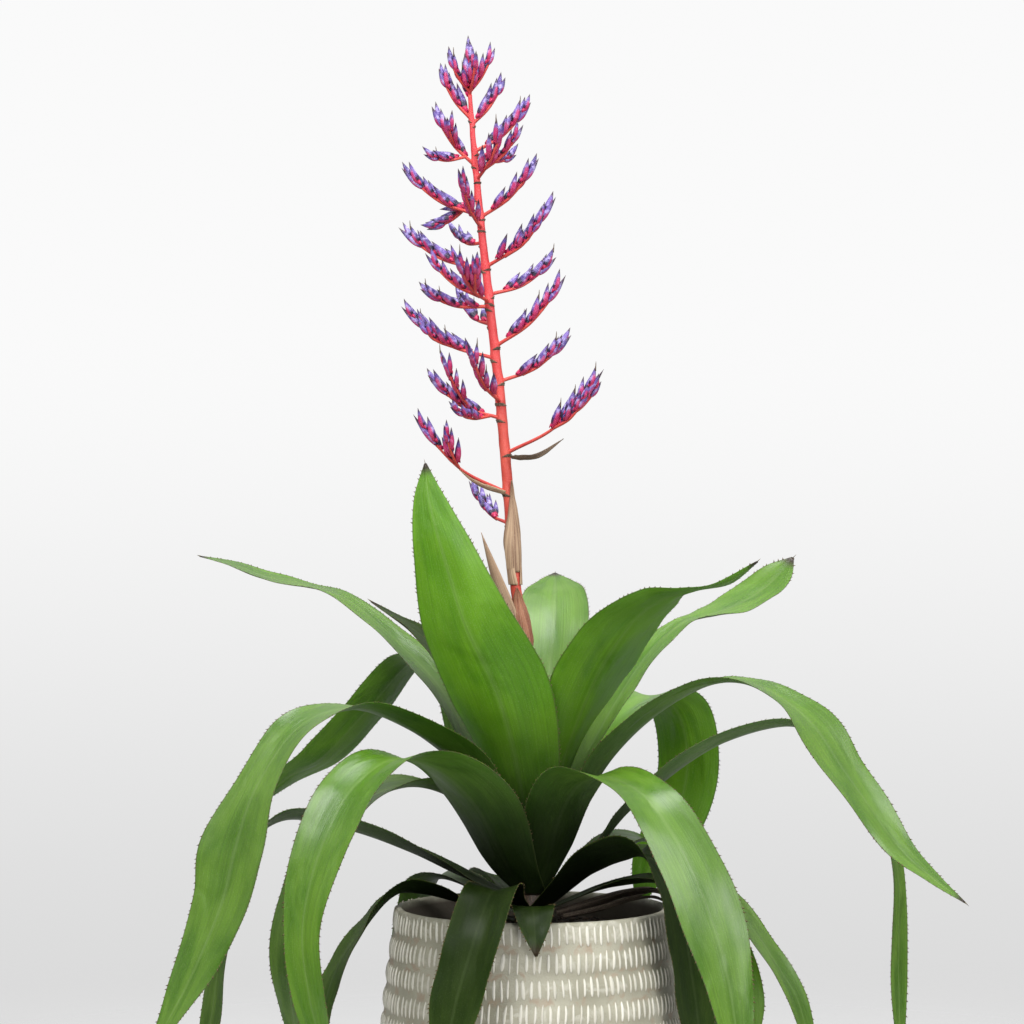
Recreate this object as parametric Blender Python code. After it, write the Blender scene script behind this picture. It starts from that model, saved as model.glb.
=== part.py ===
"""A potted bromeliad: a rosette of strap leaves round one tall branched flower stem, in a
round-bellied ceramic pot.

Metres, +Z up. The origin is the middle of the pot's underside, which stands on z = 0.
The plant's own points are in millimetres from the middle of the pot's mouth, +X to the
plant's right and +Y to its back.
"""

import math

import bmesh
import bpy
from mathutils import Quaternion, Vector

MM = 0.001
SHARP_ANGLE = 50.0

# ---- driving dimensions, in millimetres ---------------------------------------------------

POT_HEIGHT = 205.0
POT_WALL = 6.5
POT_FLOOR = 8.0
POT_SIDES = 40
# Height and radius up the outside of the pot, from its foot to just under the lip.
POT_OUTSIDE = ((0.0, 93.0), (5.0, 97.0), (50.0, 110.5), (85.0, 117.0), (110.0, 118.0),
               (140.0, 115.5), (175.0, 111.0), (200.0, 107.5))
# The rounded lip: how far below the rim, and how far in from the outside.
LIP = ((1.2, 0.8), (0.0, 2.4), (0.0, 4.5), (1.2, 5.9))
# The corner between the inside wall and the floor: how far in, and how far up.
INSIDE_CORNER = (5.0, 4.0)

SOIL_BELOW_RIM = 16.0
# The soil is lowest at the wall and heaped in the middle: radius, and drop below the middle.
SOIL_SHOULDER = (60.0, 0.6)
SOIL_MIDDLE = 25.0
SOIL_EDGE_DROP = 3.0

# Clearance between pieces that touch in the living plant.
GAP = 0.4
ROOT_CLEARANCE = 1.0
STALK_CLEARANCE = 0.6

CROWN_BOTTOM = -15.0
CROWN_TOP = 42.0
CROWN_RADIUS = (14.0, 8.0)
# No leaf starts closer than this to either end of the crown.
CROWN_MARGIN = 2.0

LEAF_STATIONS = 17
# Thickness at the midrib, the share of it that stays at a narrow tip, the width above which a
# leaf has its full thickness, and the share of it at the leaf's edges.
LEAF_THICKNESS = 1.4
LEAF_TIP_SHARE = 0.6
LEAF_FULL_WIDTH = 30.0
LEAF_EDGE_SHARE = 0.55
# Share of the leaf's length, share of its width that is left beside the crowded crown, and how
# far its edges stand up as a share of half its width.
LEAF_SECTION = ((0.0, 0.22, 0.25), (0.1, 0.4, 0.3), (0.25, 0.8, 0.32), (0.4, 1.0, 0.24),
                (0.65, 1.0, 0.12), (1.0, 1.0, 0.08))

STEM_SIDES = 10
# The flower stem's middle line from the crown to its tip, and its radius there.
STEM_LINE = (((0, 0, 42), 8.0), ((-1, 0, 60), 5.0), ((-4, 0, 140), 4.6), ((-7, 0, 209), 4.4),
             ((-13, 0, 249), 4.3), ((-19, 0, 326), 4.2), ((-25, 0, 397), 4.0),
             ((-32, 0, 459), 3.5), ((-39, 0, 522), 3.0), ((-46, 0, 593), 2.3),
             ((-49, 0, 636), 1.6))

# Dry bracts wrapped round the stem: height and outer radius, from foot to lip.
UPPER_WRAP = ((254, 6.6), (262, 6.2), (281, 7.6), (292, 6.2), (300, 5.3), (334, 5.0))
LOWER_WRAP = ((196, 6.2), (210, 7.0), (224, 7.6), (238, 6.4), (250, 5.1))
# Bracts that stand off the stem: the midrib's points, width and the way the upper side looks.
SLENDER_BRACT = (((-20, -6, 231), (-30, -6, 261), (-40, -7, 293)), 11, 175)
BRACT_UNDER_SPIKE = (((-14, -6, 347), (6, -16, 350), (24, -24, 362)), 7, -60)
BLADE_STATIONS = 7
BLADE_THICKNESS = 0.8
# Shares of half a blade's width: how much is left at its tip, how far its edges stand up, and
# how wide its lower side is.
BLADE_TIP = 0.12
BLADE_RISE = 0.35
BLADE_UNDERSIDE = 0.9

SPIKE_SIDES = 6
SPIKE_STATIONS = 8
# Share of a flower spike's length and share of its full width.
SPIKE_OUTLINE = ((0.0, 0.2), (0.22, 0.26), (0.34, 0.8), (0.5, 1.0), (0.65, 0.92),
                 (0.8, 0.72), (0.92, 0.42), (1.0, 0.1))
SPIKE_FLATNESS = 0.6
# How far the middle hangs below the straight line, as a share of the length, and how far the
# outline steps from side to side with the flowers, as a share of half its width.
SPIKE_SAG = 0.07
SPIKE_STEP = 0.25
# The foot of a spike stands off the stem by this share of its width.
SPIKE_FOOT = 0.15

# ---- the leaves, from the lowest and outermost to the innermost ---------------------------
# Name, the compass way its upper side looks at the tip (0 is +X, 90 is +Y), how many degrees its
# middle is rolled about the midrib (plus lifts its right edge, seen from the crown), and the
# points that its midrib passes through after it leaves the crown, each with the width there.
LEAVES = (
    ("leaf_dry_right", 10, 0,
     ((45, 12, -1, 13), (75, 20, 8, 21), (99, 25, 11, 24), (116, 27, -4, 20), (122, 26, -28, 12),
      (124, 24, -50, 2))),
    ("leaf_left_rim", -110, -20,
     ((-48, 8, 0, 26), (-84, 10, 10, 34), (-106, 8, 10, 36), (-128, 2, -10, 34),
      (-150, -6, -42, 30), (-162, -10, -75, 20), (-164, -12, -112, 2))),
    ("leaf_front_small", -90, 0,
     ((-2, -50, 2, 24), (-1, -85, 9, 32), (0, -106, 11, 32), (1, -121, -2, 22),
      (2, -127, -22, 2))),
    ("leaf_back_low", 100, 0,
     ((-10, 46, 5, 34), (-22, 90, 14, 48), (-30, 122, 2, 50), (-36, 142, -50, 44),
      (-40, 150, -130, 3))),
    ("leaf_back_left_low", 140, 0,
     ((-36, 34, 6, 28), (-68, 66, 15, 38), (-86, 84, 8, 40), (-98, 92, -30, 38),
      (-104, 92, -85, 28), (-110, 92, -135, 3))),
    ("leaf_front_rim", -100, 0,
     ((-18, -44, 10, 28), (-27, -84, 22, 38), (-32, -110, 23, 42), (-42, -130, -2, 42),
      (-51, -137, -30, 40), (-60, -140, -65, 36), (-70, -142, -122, 3))),
    ("leaf_right_low_inner", -70, 0,
     ((52, 4, 13, 24), (96, 2, 19, 32), (132, -2, 2, 34), (158, -6, -34, 32), (169, -8, -72, 28),
      (172, -10, -118, 3))),
    ("leaf_right_short", -60, 15,
     ((31, -34, 24, 40), (56, -52, 40, 52), (84, -60, 46, 54), (104, -60, 28, 52),
      (117, -58, -18, 48), (125, -54, -70, 42), (131, -50, -125, 4))),
    ("leaf_back_right_low", 50, 0,
     ((38, 34, 24, 36), (84, 76, 44, 50), (120, 104, 28, 52), (146, 122, -24, 48),
      (156, 130, -90, 34), (158, 132, -140, 3))),
    ("leaf_right_low", -60, 0,
     ((46, 8, 28, 26), (84, 12, 40, 34), (124, 12, 28, 36), (156, 8, 2, 34), (188, 4, -40, 28),
      (210, 0, -80, 22), (222, -4, -138, 2))),
    ("leaf_left_low", -120, -14,
     ((-44, 15, 18, 30), (-92, 34, 38, 38), (-150, 52, 57, 40), (-198, 66, 62, 34),
      (-230, 76, 36, 30), (-250, 80, -40, 28), (-260, 82, -105, 24), (-266, 82, -150, 2))),
    ("leaf_right_lower_long", -75, 16,
     ((44, 8, 36, 30), (76, 14, 74, 34), (138, 26, 121, 28), (200, 33, 140, 22),
      (240, 35, 124, 20), (272, 36, 82, 19), (290, 36, 28, 18), (291, 34, -60, 17),
      (293, 34, -140, 2))),
    ("leaf_front_left", -115, 0,
     ((-21, -40, 40, 58), (-42, -76, 84, 66), (-70, -110, 115, 58), (-104, -142, 126, 50),
      (-132, -168, 108, 49), (-150, -180, 76, 46), (-163, -187, 38, 39), (-168, -192, 0, 29),
      (-163, -195, -40, 28), (-157, -197, -66, 22), (-150, -198, -104, 2))),
    ("leaf_back", 90, 0,
     ((-2, 38, 56, 38), (-4, 86, 108, 52), (-6, 146, 136, 58), (-8, 206, 112, 56),
      (-10, 244, 40, 44), (-10, 262, -50, 3))),
    ("leaf_front_right", -80, 0,
     ((13, -33, 46, 48), (22, -66, 82, 56), (38, -104, 108, 54), (64, -146, 110, 48),
      (88, -180, 94, 44), (112, -200, 54, 47), (128, -210, 14, 48), (138, -216, -22, 38),
      (144, -220, -58, 26), (149, -222, -98, 2))),
    ("leaf_left_hanging", -130, 0,
     ((-30, -20, 54, 36), (-60, -40, 88, 46), (-94, -58, 100, 48), (-130, -74, 88, 46),
      (-164, -86, 48, 44), (-182, -92, -6, 40), (-184, -94, -50, 32), (-174, -94, -112, 3))),
    ("leaf_back_right", 80, 0,
     ((28, 42, 80, 38), (58, 82, 136, 48), (92, 114, 158, 52), (120, 136, 146, 52),
      (130, 150, 104, 52), (122, 154, 60, 48), (100, 152, 18, 34), (88, 148, -20, 3))),
    ("leaf_left_long", -120, 0,
     ((-30, -29, 77, 42), (-54, -50, 116, 46), (-94, -82, 146, 42), (-138, -114, 162, 38),
      (-176, -141, 148, 38), (-204, -158, 106, 42), (-219, -166, 62, 60), (-227, -171, 26, 53),
      (-240, -174, -8, 42), (-259, -177, -48, 26), (-284, -180, -92, 2))),
    ("leaf_back_left", 115, 0,
     ((-25, 44, 80, 32), (-50, 82, 141, 38), (-78, 112, 184, 38), (-108, 134, 188, 38),
      (-146, 152, 136, 38), (-178, 162, 104, 36), (-206, 168, 86, 24), (-226, 172, 66, 2))),
    ("leaf_right_long", -60, 0,
     ((32, -17, 72, 36), (53, -29, 111, 38), (88, -50, 150, 34), (128, -72, 176, 32),
      (162, -92, 180, 31), (192, -108, 166, 33), (211, -117, 147, 38), (229, -125, 118, 34),
      (246, -132, 94, 29), (272, -143, 59, 20), (294, -151, 39, 12), (317, -158, 22, 1.5))),
    ("leaf_back_upper", 100, 0,
     ((-16, 38, 80, 36), (-26, 84, 146, 48), (-34, 130, 188, 54), (-48, 182, 196, 54),
      (-60, 230, 165, 42), (-68, 262, 100, 3))),
    ("leaf_back_tall", 85, 0,
     ((9, 30, 94, 40), (13, 66, 158, 54), (17, 102, 212, 60), (19, 136, 240, 52),
      (20, 160, 250, 29), (20, 180, 258, 2))),
    ("leaf_left_upper", 120, 0,
     ((-25, 14, 82, 36), (-47, 31, 124, 44), (-72, 52, 166, 46), (-110, 80, 206, 44),
      (-162, 114, 244, 40), (-220, 148, 262, 30), (-278, 182, 272, 2))),
    ("leaf_right_upper_back", 60, 0,
     ((26, 8, 86, 30), (52, 22, 134, 38), (86, 42, 188, 36), (118, 58, 219, 22),
      (140, 68, 226, 34), (162, 76, 233, 46), (184, 83, 245, 42), (200, 87, 258, 30),
      (212, 90, 272, 3))),
    ("leaf_front_tall", -95, 0,
     ((-8, -32, 92, 62), (-25, -58, 164, 80), (-52, -74, 226, 69), (-69, -77, 280, 46),
      (-79, -74, 318, 25), (-82, -70, 346, 2))),
    ("leaf_right_upper", -75, 0,
     ((18, -18, 98, 46), (42, -39, 168, 70), (72, -68, 222, 62), (97, -86, 243, 42),
      (118, -98, 250, 17), (144, -110, 256, 11), (167, -122, 272, 2))),
    ("leaf_left_inner", 160, 0,
     ((-20, 8, 92, 34), (-46, 20, 148, 42), (-72, 30, 192, 44), (-92, 34, 214, 36),
      (-128, 36, 238, 3))),
)

# ---- the flower spikes, from the lowest up ------------------------------------------------
# Name, height on the stem where it starts, its tip, and its width.
SPIKES = (
    ("spike_back_low", 300, (-50, 62, 331), 12),
    ("spike_left_low", 325, (-92, -38, 381), 17),
    ("spike_right_low", 356, (54, -44, 415), 20),
    ("spike_left_dense", 383, (-80, -28, 412), 22),
    ("spike_front_dense", 396, (-50, -72, 436), 22),
    ("spike_right_second", 412, (29, -10, 444), 17),
    ("spike_left_second", 430, (-101, -10, 466), 18),
    ("spike_right_third", 440, (25, -24, 489), 17),
    ("spike_back_second", 456, (-60, 58, 484), 17),
    ("spike_left_third", 470, (-85, -18, 480), 16),
    ("spike_front_third", 474, (-60, -66, 504), 18),
    ("spike_right_fourth", 480, (18, 24, 508), 15),
    ("spike_left_fourth", 500, (-104, 10, 530), 17),
    ("spike_right_fifth", 502, (17, -30, 549), 19),
    ("spike_back_fifth", 520, (-64, 48, 534), 15),
    ("spike_front_fifth", 532, (-56, -58, 567), 18),
    ("spike_right_sixth", 541, (4, -15, 581), 15),
    ("spike_left_sixth", 542, (-101, -4, 575), 15),
    ("spike_left_small", 556, (-80, 18, 532), 12),
    ("spike_front_seventh", 570, (-22, -42, 608), 18),
    ("spike_left_seventh", 582, (-78, -8, 622), 19),
    ("spike_right_seventh", 592, (-2, 0, 627), 14),
    ("spike_back_sixth", 590, (-14, 44, 592), 13),
    ("spike_right_top", 614, (-22, 2, 646), 15),
    ("spike_left_top", 618, (-73, 0, 653), 15),
)
TIP_SPIKE = ("spike_tip", (-48, 0, 682), 22)

CLAY = (0.5, 0.46, 0.38)
EARTH = (0.03, 0.02, 0.015)
CORAL = (0.75, 0.1, 0.08)
VIOLET = (0.3, 0.1, 0.45)
LEAF_GREEN = (0.13, 0.28, 0.06)
YOUNG_GREEN = (0.16, 0.4, 0.04)
DRY_LEAF = (0.3, 0.22, 0.15)
DRY_BRACT = (0.42, 0.25, 0.15)


def plant_point(point):
    """A point of the plant, in metres from the origin under the pot."""
    return Vector((point[0], point[1], point[2] + POT_HEIGHT)) * MM


def clear_scene():
    for old in list(bpy.data.objects):
        bpy.data.objects.remove(old, do_unlink=True)


def finish(name, color, roughness):
    """The finish of one kind of piece, made once and then shared."""
    material = bpy.data.materials.get(name) or bpy.data.materials.new(name)
    material.use_nodes = True
    shader = material.node_tree.nodes["Principled BSDF"]
    shader.inputs["Base Color"].default_value = (*color, 1.0)
    shader.inputs["Roughness"].default_value = roughness
    shader.inputs["Metallic"].default_value = 0.0
    return material


def add_object(name, mesh_maker, material):
    """Turn a bmesh into one named object, smooth but for its sharp edges."""
    bmesh.ops.recalc_face_normals(mesh_maker, faces=mesh_maker.faces)
    mesh = bpy.data.meshes.new(name)
    mesh_maker.to_mesh(mesh)
    mesh_maker.free()
    mesh.shade_smooth()
    mesh.set_sharp_from_angle(angle=math.radians(SHARP_ANGLE))
    mesh.materials.append(material)
    piece = bpy.data.objects.new(name, mesh)
    bpy.context.scene.collection.objects.link(piece)
    return piece


def read_outline(outline, share):
    """Straight-line reading of a table whose first column runs from 0 to 1."""
    for low, high in zip(outline, outline[1:]):
        if share <= high[0]:
            part = (share - low[0]) / (high[0] - low[0])
            return [a + (b - a) * part for a, b in zip(low[1:], high[1:])]
    return list(outline[-1][1:])


def smooth_path(points, count):
    """Evenly spaced points on one smooth curve through the given points. Any width that they
    carry as a fourth number is smoothed along with them."""
    knots = [0.0]
    for first, second in zip(points, points[1:]):
        knots.append(knots[-1] + (second - first).to_3d().length ** 0.5)
    slopes = []
    for i in range(len(points)):
        low = max(i - 1, 0)
        high = min(i + 1, len(points) - 1)
        slopes.append((points[high] - points[low]) / (knots[high] - knots[low]))
    fine = []
    steps = 12
    for i in range(len(points) - 1):
        span = knots[i + 1] - knots[i]
        for step in range(steps):
            t = step / steps
            fine.append(points[i] * (2 * t ** 3 - 3 * t ** 2 + 1)
                        + slopes[i] * span * (t ** 3 - 2 * t ** 2 + t)
                        + points[i + 1] * (3 * t ** 2 - 2 * t ** 3)
                        + slopes[i + 1] * span * (t ** 3 - t ** 2))
    fine.append(points[-1].copy())
    lengths = [0.0]
    for first, second in zip(fine, fine[1:]):
        lengths.append(lengths[-1] + (second - first).to_3d().length)
    path = []
    place = 0
    for i in range(count):
        wanted = lengths[-1] * i / (count - 1)
        while place < len(fine) - 2 and lengths[place + 1] < wanted:
            place += 1
        part = (wanted - lengths[place]) / (lengths[place + 1] - lengths[place])
        path.append(fine[place].lerp(fine[place + 1], min(max(part, 0.0), 1.0)))
    return path


def directions(path):
    """The way the path runs at each of its points."""
    last = len(path) - 1
    return [(path[min(i + 1, last)] - path[max(i - 1, 0)]).normalized() for i in range(last + 1)]


def skin(rings, loop_ends=False):
    """Faces over rings of equal size, closed by end caps or back onto the first ring."""
    maker = bmesh.new()
    grid = [[maker.verts.new(point) for point in ring] for ring in rings]
    pairs = list(zip(grid, grid[1:]))
    if loop_ends:
        pairs.append((grid[-1], grid[0]))
    for ring, following in pairs:
        for i in range(len(ring)):
            j = (i + 1) % len(ring)
            maker.faces.new((ring[i], ring[j], following[j], following[i]))
    if not loop_ends:
        maker.faces.new(grid[0])
        maker.faces.new(grid[-1])
    return maker


def ribbon(rings):
    """A closed thin ribbon. Each ring runs left edge, middle, right edge along the upper side and
    back along the lower one. Both sides are split into triangles along the same lines, so that
    they stay parallel where the ribbon twists."""
    maker = bmesh.new()
    grid = [[maker.verts.new(point) for point in ring] for ring in rings]
    edge_to_middle = (0, 3)
    for ring, following in zip(grid, grid[1:]):
        for i in range(len(ring)):
            j = (i + 1) % len(ring)
            if i in edge_to_middle:
                maker.faces.new((ring[i], ring[j], following[i]))
                maker.faces.new((ring[j], following[j], following[i]))
            else:
                maker.faces.new((ring[i], ring[j], following[j]))
                maker.faces.new((ring[i], following[j], following[i]))
    for end in (grid[0], grid[-1]):
        left_top, middle_top, right_top, right_low, middle_low, left_low = end
        maker.faces.new((left_top, middle_top, middle_low, left_low))
        maker.faces.new((middle_top, right_top, right_low, middle_low))
    return maker


def turned_ring(radius, height, sides):
    """Points round the Z axis, in metres."""
    angles = [2 * math.pi * i / sides for i in range(sides)]
    return [Vector((radius * math.cos(a), radius * math.sin(a), height)) * MM for a in angles]


# ---- pot and soil -------------------------------------------------------------------------

def pot_radius(height):
    """Radius of the pot's outside at a height above its foot."""
    for (z0, r0), (z1, r1) in zip(POT_OUTSIDE, POT_OUTSIDE[1:]):
        if height <= z1:
            return r0 + (r1 - r0) * (height - z0) / (z1 - z0)
    return POT_OUTSIDE[-1][1]


def pot_profile():
    """Height and radius up the outside, over the rounded lip and down the inside."""
    rim_outer = POT_OUTSIDE[-1][1]
    lip = [(POT_HEIGHT - drop, rim_outer - inset) for drop, inset in LIP]
    inside = [(height, radius - POT_WALL) for height, radius in POT_OUTSIDE[:1:-1]]
    corner_in, corner_up = INSIDE_CORNER
    foot = pot_radius(POT_FLOOR) - POT_WALL
    inside.append((POT_FLOOR + corner_up, foot))
    inside.append((POT_FLOOR, foot - corner_in))
    return list(POT_OUTSIDE) + lip + inside


def make_pot():
    rings = [turned_ring(radius, height, POT_SIDES) for height, radius in pot_profile()]
    add_object("pot", skin(rings), finish("clay", CLAY, 0.55))


def make_soil():
    """Potting mix filling the pot to just below its rim, slightly heaped in the middle."""
    top = POT_HEIGHT - SOIL_BELOW_RIM
    clearance = POT_WALL + GAP
    levels = [height for height, _ in POT_OUTSIDE[2:] if height < top]
    corner_in, corner_up = INSIDE_CORNER
    foot = pot_radius(POT_FLOOR) - clearance
    outline = [(POT_FLOOR + GAP, foot - corner_in), (POT_FLOOR + corner_up + GAP, foot)]
    outline += [(height, pot_radius(height) - clearance) for height in levels]
    outline.append((top - SOIL_EDGE_DROP, pot_radius(top) - clearance))
    outline.append((top - SOIL_SHOULDER[1], SOIL_SHOULDER[0]))
    outline.append((top, SOIL_MIDDLE))
    rings = [turned_ring(radius, height, POT_SIDES) for height, radius in outline]
    add_object("soil", skin(rings), finish("potting_soil", EARTH, 0.95))


# ---- stem and bracts ----------------------------------------------------------------------

def stem_at(height):
    """Middle and radius of the flower stem at a height above the pot's mouth."""
    for (low, r0), (high, r1) in zip(STEM_LINE, STEM_LINE[1:]):
        if height <= high[2]:
            part = (height - low[2]) / (high[2] - low[2])
            middle = [a + (b - a) * part for a, b in zip(low, high)]
            return Vector(middle), r0 + (r1 - r0) * part
    return Vector(STEM_LINE[-1][0]), STEM_LINE[-1][1]


def stem_ring(height, radius):
    """A level ring round the stem's middle line."""
    middle, _ = stem_at(height)
    ring = []
    for i in range(STEM_SIDES):
        angle = 2 * math.pi * i / STEM_SIDES
        side = Vector((math.cos(angle), math.sin(angle), 0)) * radius
        ring.append(plant_point(middle + side))
    return ring


def make_stem():
    """The short crown that the leaves grow from, and the flower stem above it."""
    rings = []
    foot = [(CROWN_BOTTOM + GAP, CROWN_RADIUS[0])]
    for height, radius in foot + [(point[2], radius) for point, radius in STEM_LINE]:
        if height < CROWN_TOP:
            ring = turned_ring(radius, height + POT_HEIGHT, STEM_SIDES)
        else:
            ring = stem_ring(height, radius)
        rings.append(ring)
    add_object("flower_stem", skin(rings), finish("stem_coral", CORAL, 0.4))


def make_sleeve(name, levels, dry):
    """A dry bract wrapped round the stem."""
    outer = [stem_ring(height, radius) for height, radius in levels]
    inner = [stem_ring(height, stem_at(height)[1] + GAP) for height, _ in reversed(levels)]
    add_object(name, skin(outer + inner, loop_ends=True), dry)


def make_blade(name, points, width, faces, dry):
    """A small pointed bract that stands off the stem."""
    path = smooth_path([plant_point(p) for p in points], BLADE_STATIONS)
    side = Vector((math.sin(math.radians(faces)), -math.cos(math.radians(faces)), 0))
    rings = []
    for i, (point, run) in enumerate(zip(path, directions(path))):
        across = (side - run * side.dot(run)).normalized()
        up = across.cross(run).normalized()
        half = width / 2 * MM * max(1.0 - (i / (BLADE_STATIONS - 1)) ** 2, BLADE_TIP)
        low_half = half * BLADE_UNDERSIDE
        rise = half * BLADE_RISE
        thick = BLADE_THICKNESS * MM
        rings.append([point - across * half + up * rise, point + across * half + up * rise,
                      point + across * low_half + up * (rise - thick),
                      point - up * thick,
                      point - across * low_half + up * (rise - thick)])
    add_object(name, skin(rings), dry)


def make_bracts():
    dry = finish("bract_dry", DRY_BRACT, 0.75)
    make_sleeve("bract_wrap_upper", UPPER_WRAP, dry)
    make_sleeve("bract_wrap_lower", LOWER_WRAP, dry)
    make_blade("bract_slender", *SLENDER_BRACT, dry)
    make_blade("bract_under_spike", *BRACT_UNDER_SPIKE, dry)


# ---- leaves -------------------------------------------------------------------------------

def leaf_root(rank, heading):
    """Where a leaf starts on the crown: each leaf a little higher than the one outside it."""
    share = rank / (len(LEAVES) - 1)
    lowest = CROWN_BOTTOM + CROWN_MARGIN
    highest = CROWN_TOP - CROWN_MARGIN
    height = lowest + (highest - lowest) * share
    radius = CROWN_RADIUS[0] + (CROWN_RADIUS[1] - CROWN_RADIUS[0]) * share + ROOT_CLEARANCE
    return Vector((radius * math.cos(heading), radius * math.sin(heading), height))


def make_leaf(rank, name, faces, roll, points, material):
    """A strap leaf: a shallow channel that follows its midrib and turns towards its tip."""
    heading = math.atan2(points[0][1], points[0][0])
    turn = (math.radians(faces) - heading + math.pi) % (2 * math.pi) - math.pi
    root = plant_point(leaf_root(rank, heading))
    rib = [Vector((*root, points[0][3] * MM))]
    rib += [Vector((*plant_point(p), p[3] * MM)) for p in points]
    stations = smooth_path(rib, LEAF_STATIONS)
    path = [station.to_3d() for station in stations]
    rings = []
    for i, (point, run) in enumerate(zip(path, directions(path))):
        share = i / (LEAF_STATIONS - 1)
        way = heading + turn * share
        level = Vector((math.sin(way), -math.cos(way), 0))
        across = (level - run * level.dot(run)).normalized()
        across.rotate(Quaternion(run, -math.radians(roll) * math.sin(math.pi * share)))
        up = across.cross(run).normalized()
        left, channel = read_outline(LEAF_SECTION, share)
        half = stations[i].w / 2 * left
        rise = half * channel
        fullness = min(half / (LEAF_FULL_WIDTH / 2 * MM), 1.0)
        thick = LEAF_THICKNESS * MM * (LEAF_TIP_SHARE + (1.0 - LEAF_TIP_SHARE) * fullness)
        edge = thick * LEAF_EDGE_SHARE
        rings.append([point - across * half + up * rise, point,
                      point + across * half + up * rise,
                      point + across * half + up * (rise - edge),
                      point - up * thick,
                      point - across * half + up * (rise - edge)])
    add_object(name, ribbon(rings), material)


def make_leaves():
    green = finish("leaf_green", LEAF_GREEN, 0.35)
    young = finish("leaf_young_green", YOUNG_GREEN, 0.35)
    dry = finish("leaf_dry", DRY_LEAF, 0.8)
    for rank, (name, faces, roll, points) in enumerate(LEAVES):
        material = green
        if name == "leaf_front_tall":
            material = young
        elif name == "leaf_dry_right":
            material = dry
        make_leaf(rank, name, faces, roll, points, material)


# ---- flower spikes ------------------------------------------------------------------------

def make_spike(name, start, tip, width, material):
    """One side branch of flowers: a thin stalk, then a flattened cluster in two ranks."""
    middle = (start + tip) / 2 - Vector((0, 0, (tip - start).length * SPIKE_SAG))
    path = smooth_path([plant_point(p) for p in (start, middle, tip)], SPIKE_STATIONS)
    rings = []
    for i, (point, run) in enumerate(zip(path, directions(path))):
        spread = read_outline(SPIKE_OUTLINE, i / (SPIKE_STATIONS - 1))[0]
        across = run.cross(Vector((0, 1, 0))).normalized()
        up = across.cross(run)
        half = width / 2 * MM * spread
        sway = half * (SPIKE_STEP if i % 2 else -SPIKE_STEP)
        ring = []
        for corner in range(SPIKE_SIDES):
            angle = 2 * math.pi * corner / SPIKE_SIDES
            ring.append(point + across * (half * math.cos(angle) + sway)
                        + up * half * SPIKE_FLATNESS * math.sin(angle))
        rings.append(ring)
    add_object(name, skin(rings), material)


def make_spikes():
    violet = finish("flower_violet", VIOLET, 0.45)
    for name, height, tip, width in SPIKES:
        middle, radius = stem_at(height)
        outward = Vector((tip[0] - middle.x, tip[1] - middle.y, 0)).normalized()
        start = middle + outward * (radius + width * SPIKE_FOOT + STALK_CLEARANCE)
        make_spike(name, start, Vector(tip), width, violet)
    name, tip, width = TIP_SPIKE
    start = Vector(STEM_LINE[-1][0]) + Vector((0, 0, GAP))
    make_spike(name, start, Vector(tip), width, violet)


clear_scene()
make_pot()
make_soil()
make_stem()
make_bracts()
make_leaves()
make_spikes()
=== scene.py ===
import math
import random

import bmesh
import bpy
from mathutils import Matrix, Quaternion, Vector, noise


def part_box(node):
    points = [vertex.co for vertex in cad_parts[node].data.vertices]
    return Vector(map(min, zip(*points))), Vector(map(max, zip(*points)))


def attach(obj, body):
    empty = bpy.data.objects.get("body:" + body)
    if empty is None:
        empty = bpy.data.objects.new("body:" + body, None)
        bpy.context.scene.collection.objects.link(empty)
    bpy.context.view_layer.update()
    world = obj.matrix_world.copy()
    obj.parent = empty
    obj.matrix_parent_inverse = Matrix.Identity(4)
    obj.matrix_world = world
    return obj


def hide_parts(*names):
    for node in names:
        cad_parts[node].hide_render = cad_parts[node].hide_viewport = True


# A potted bromeliad. The plant's own points are in millimetres from the middle of the pot's
# mouth, +X to the plant's right and +Y to its back, as in the frame's own tables.

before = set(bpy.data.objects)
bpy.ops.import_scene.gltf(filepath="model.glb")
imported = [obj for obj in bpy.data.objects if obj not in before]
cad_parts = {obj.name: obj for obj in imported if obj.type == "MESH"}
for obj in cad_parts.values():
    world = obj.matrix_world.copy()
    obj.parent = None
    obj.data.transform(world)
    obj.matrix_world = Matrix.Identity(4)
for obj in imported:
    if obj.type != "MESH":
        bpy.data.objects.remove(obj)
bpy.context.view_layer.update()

MM = 0.001
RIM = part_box("pot")[1].z
POT_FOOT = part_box("pot")[0].z
SOIL_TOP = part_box("soil")[1].z

# ---- sizes, in millimetres ----------------------------------------------------------------

POT_HEIGHT = (RIM - POT_FOOT) / MM
POT_WALL = 6.5
POT_FLOOR = 8.0
# Height and radius up the outside of the pot, from its foot to just under the lip.
POT_OUTSIDE = ((0.0, 93.0), (5.0, 97.0), (50.0, 110.5), (85.0, 117.0), (110.0, 118.0),
               (140.0, 115.5), (175.0, 111.0), (200.0, 107.5))
# The rounded lip: how far below the rim, and how far in from the outside.
LIP = ((3.2, 0.0), (1.2, 0.5), (0.3, 1.4), (0.0, 2.6), (0.0, 4.2), (0.5, 5.4), (1.8, 6.2))
POT_COLUMNS = 240
ROW_PITCH = 20.0
ROW_COUNT = 9
FIRST_ROW_BELOW_RIM = 9.0
ROW_BULGE = 0.9
DASH_PITCH = 5.8

CROWN_BOTTOM = -15.0
CROWN_TOP = 42.0
CROWN_RADIUS = (14.0, 8.0)
CROWN_MARGIN = 2.0
ROOT_CLEARANCE = 1.0

LEAF_THICKNESS = 1.4
LEAF_STEP = 3.0
LEAF_COLUMNS = 19
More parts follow.
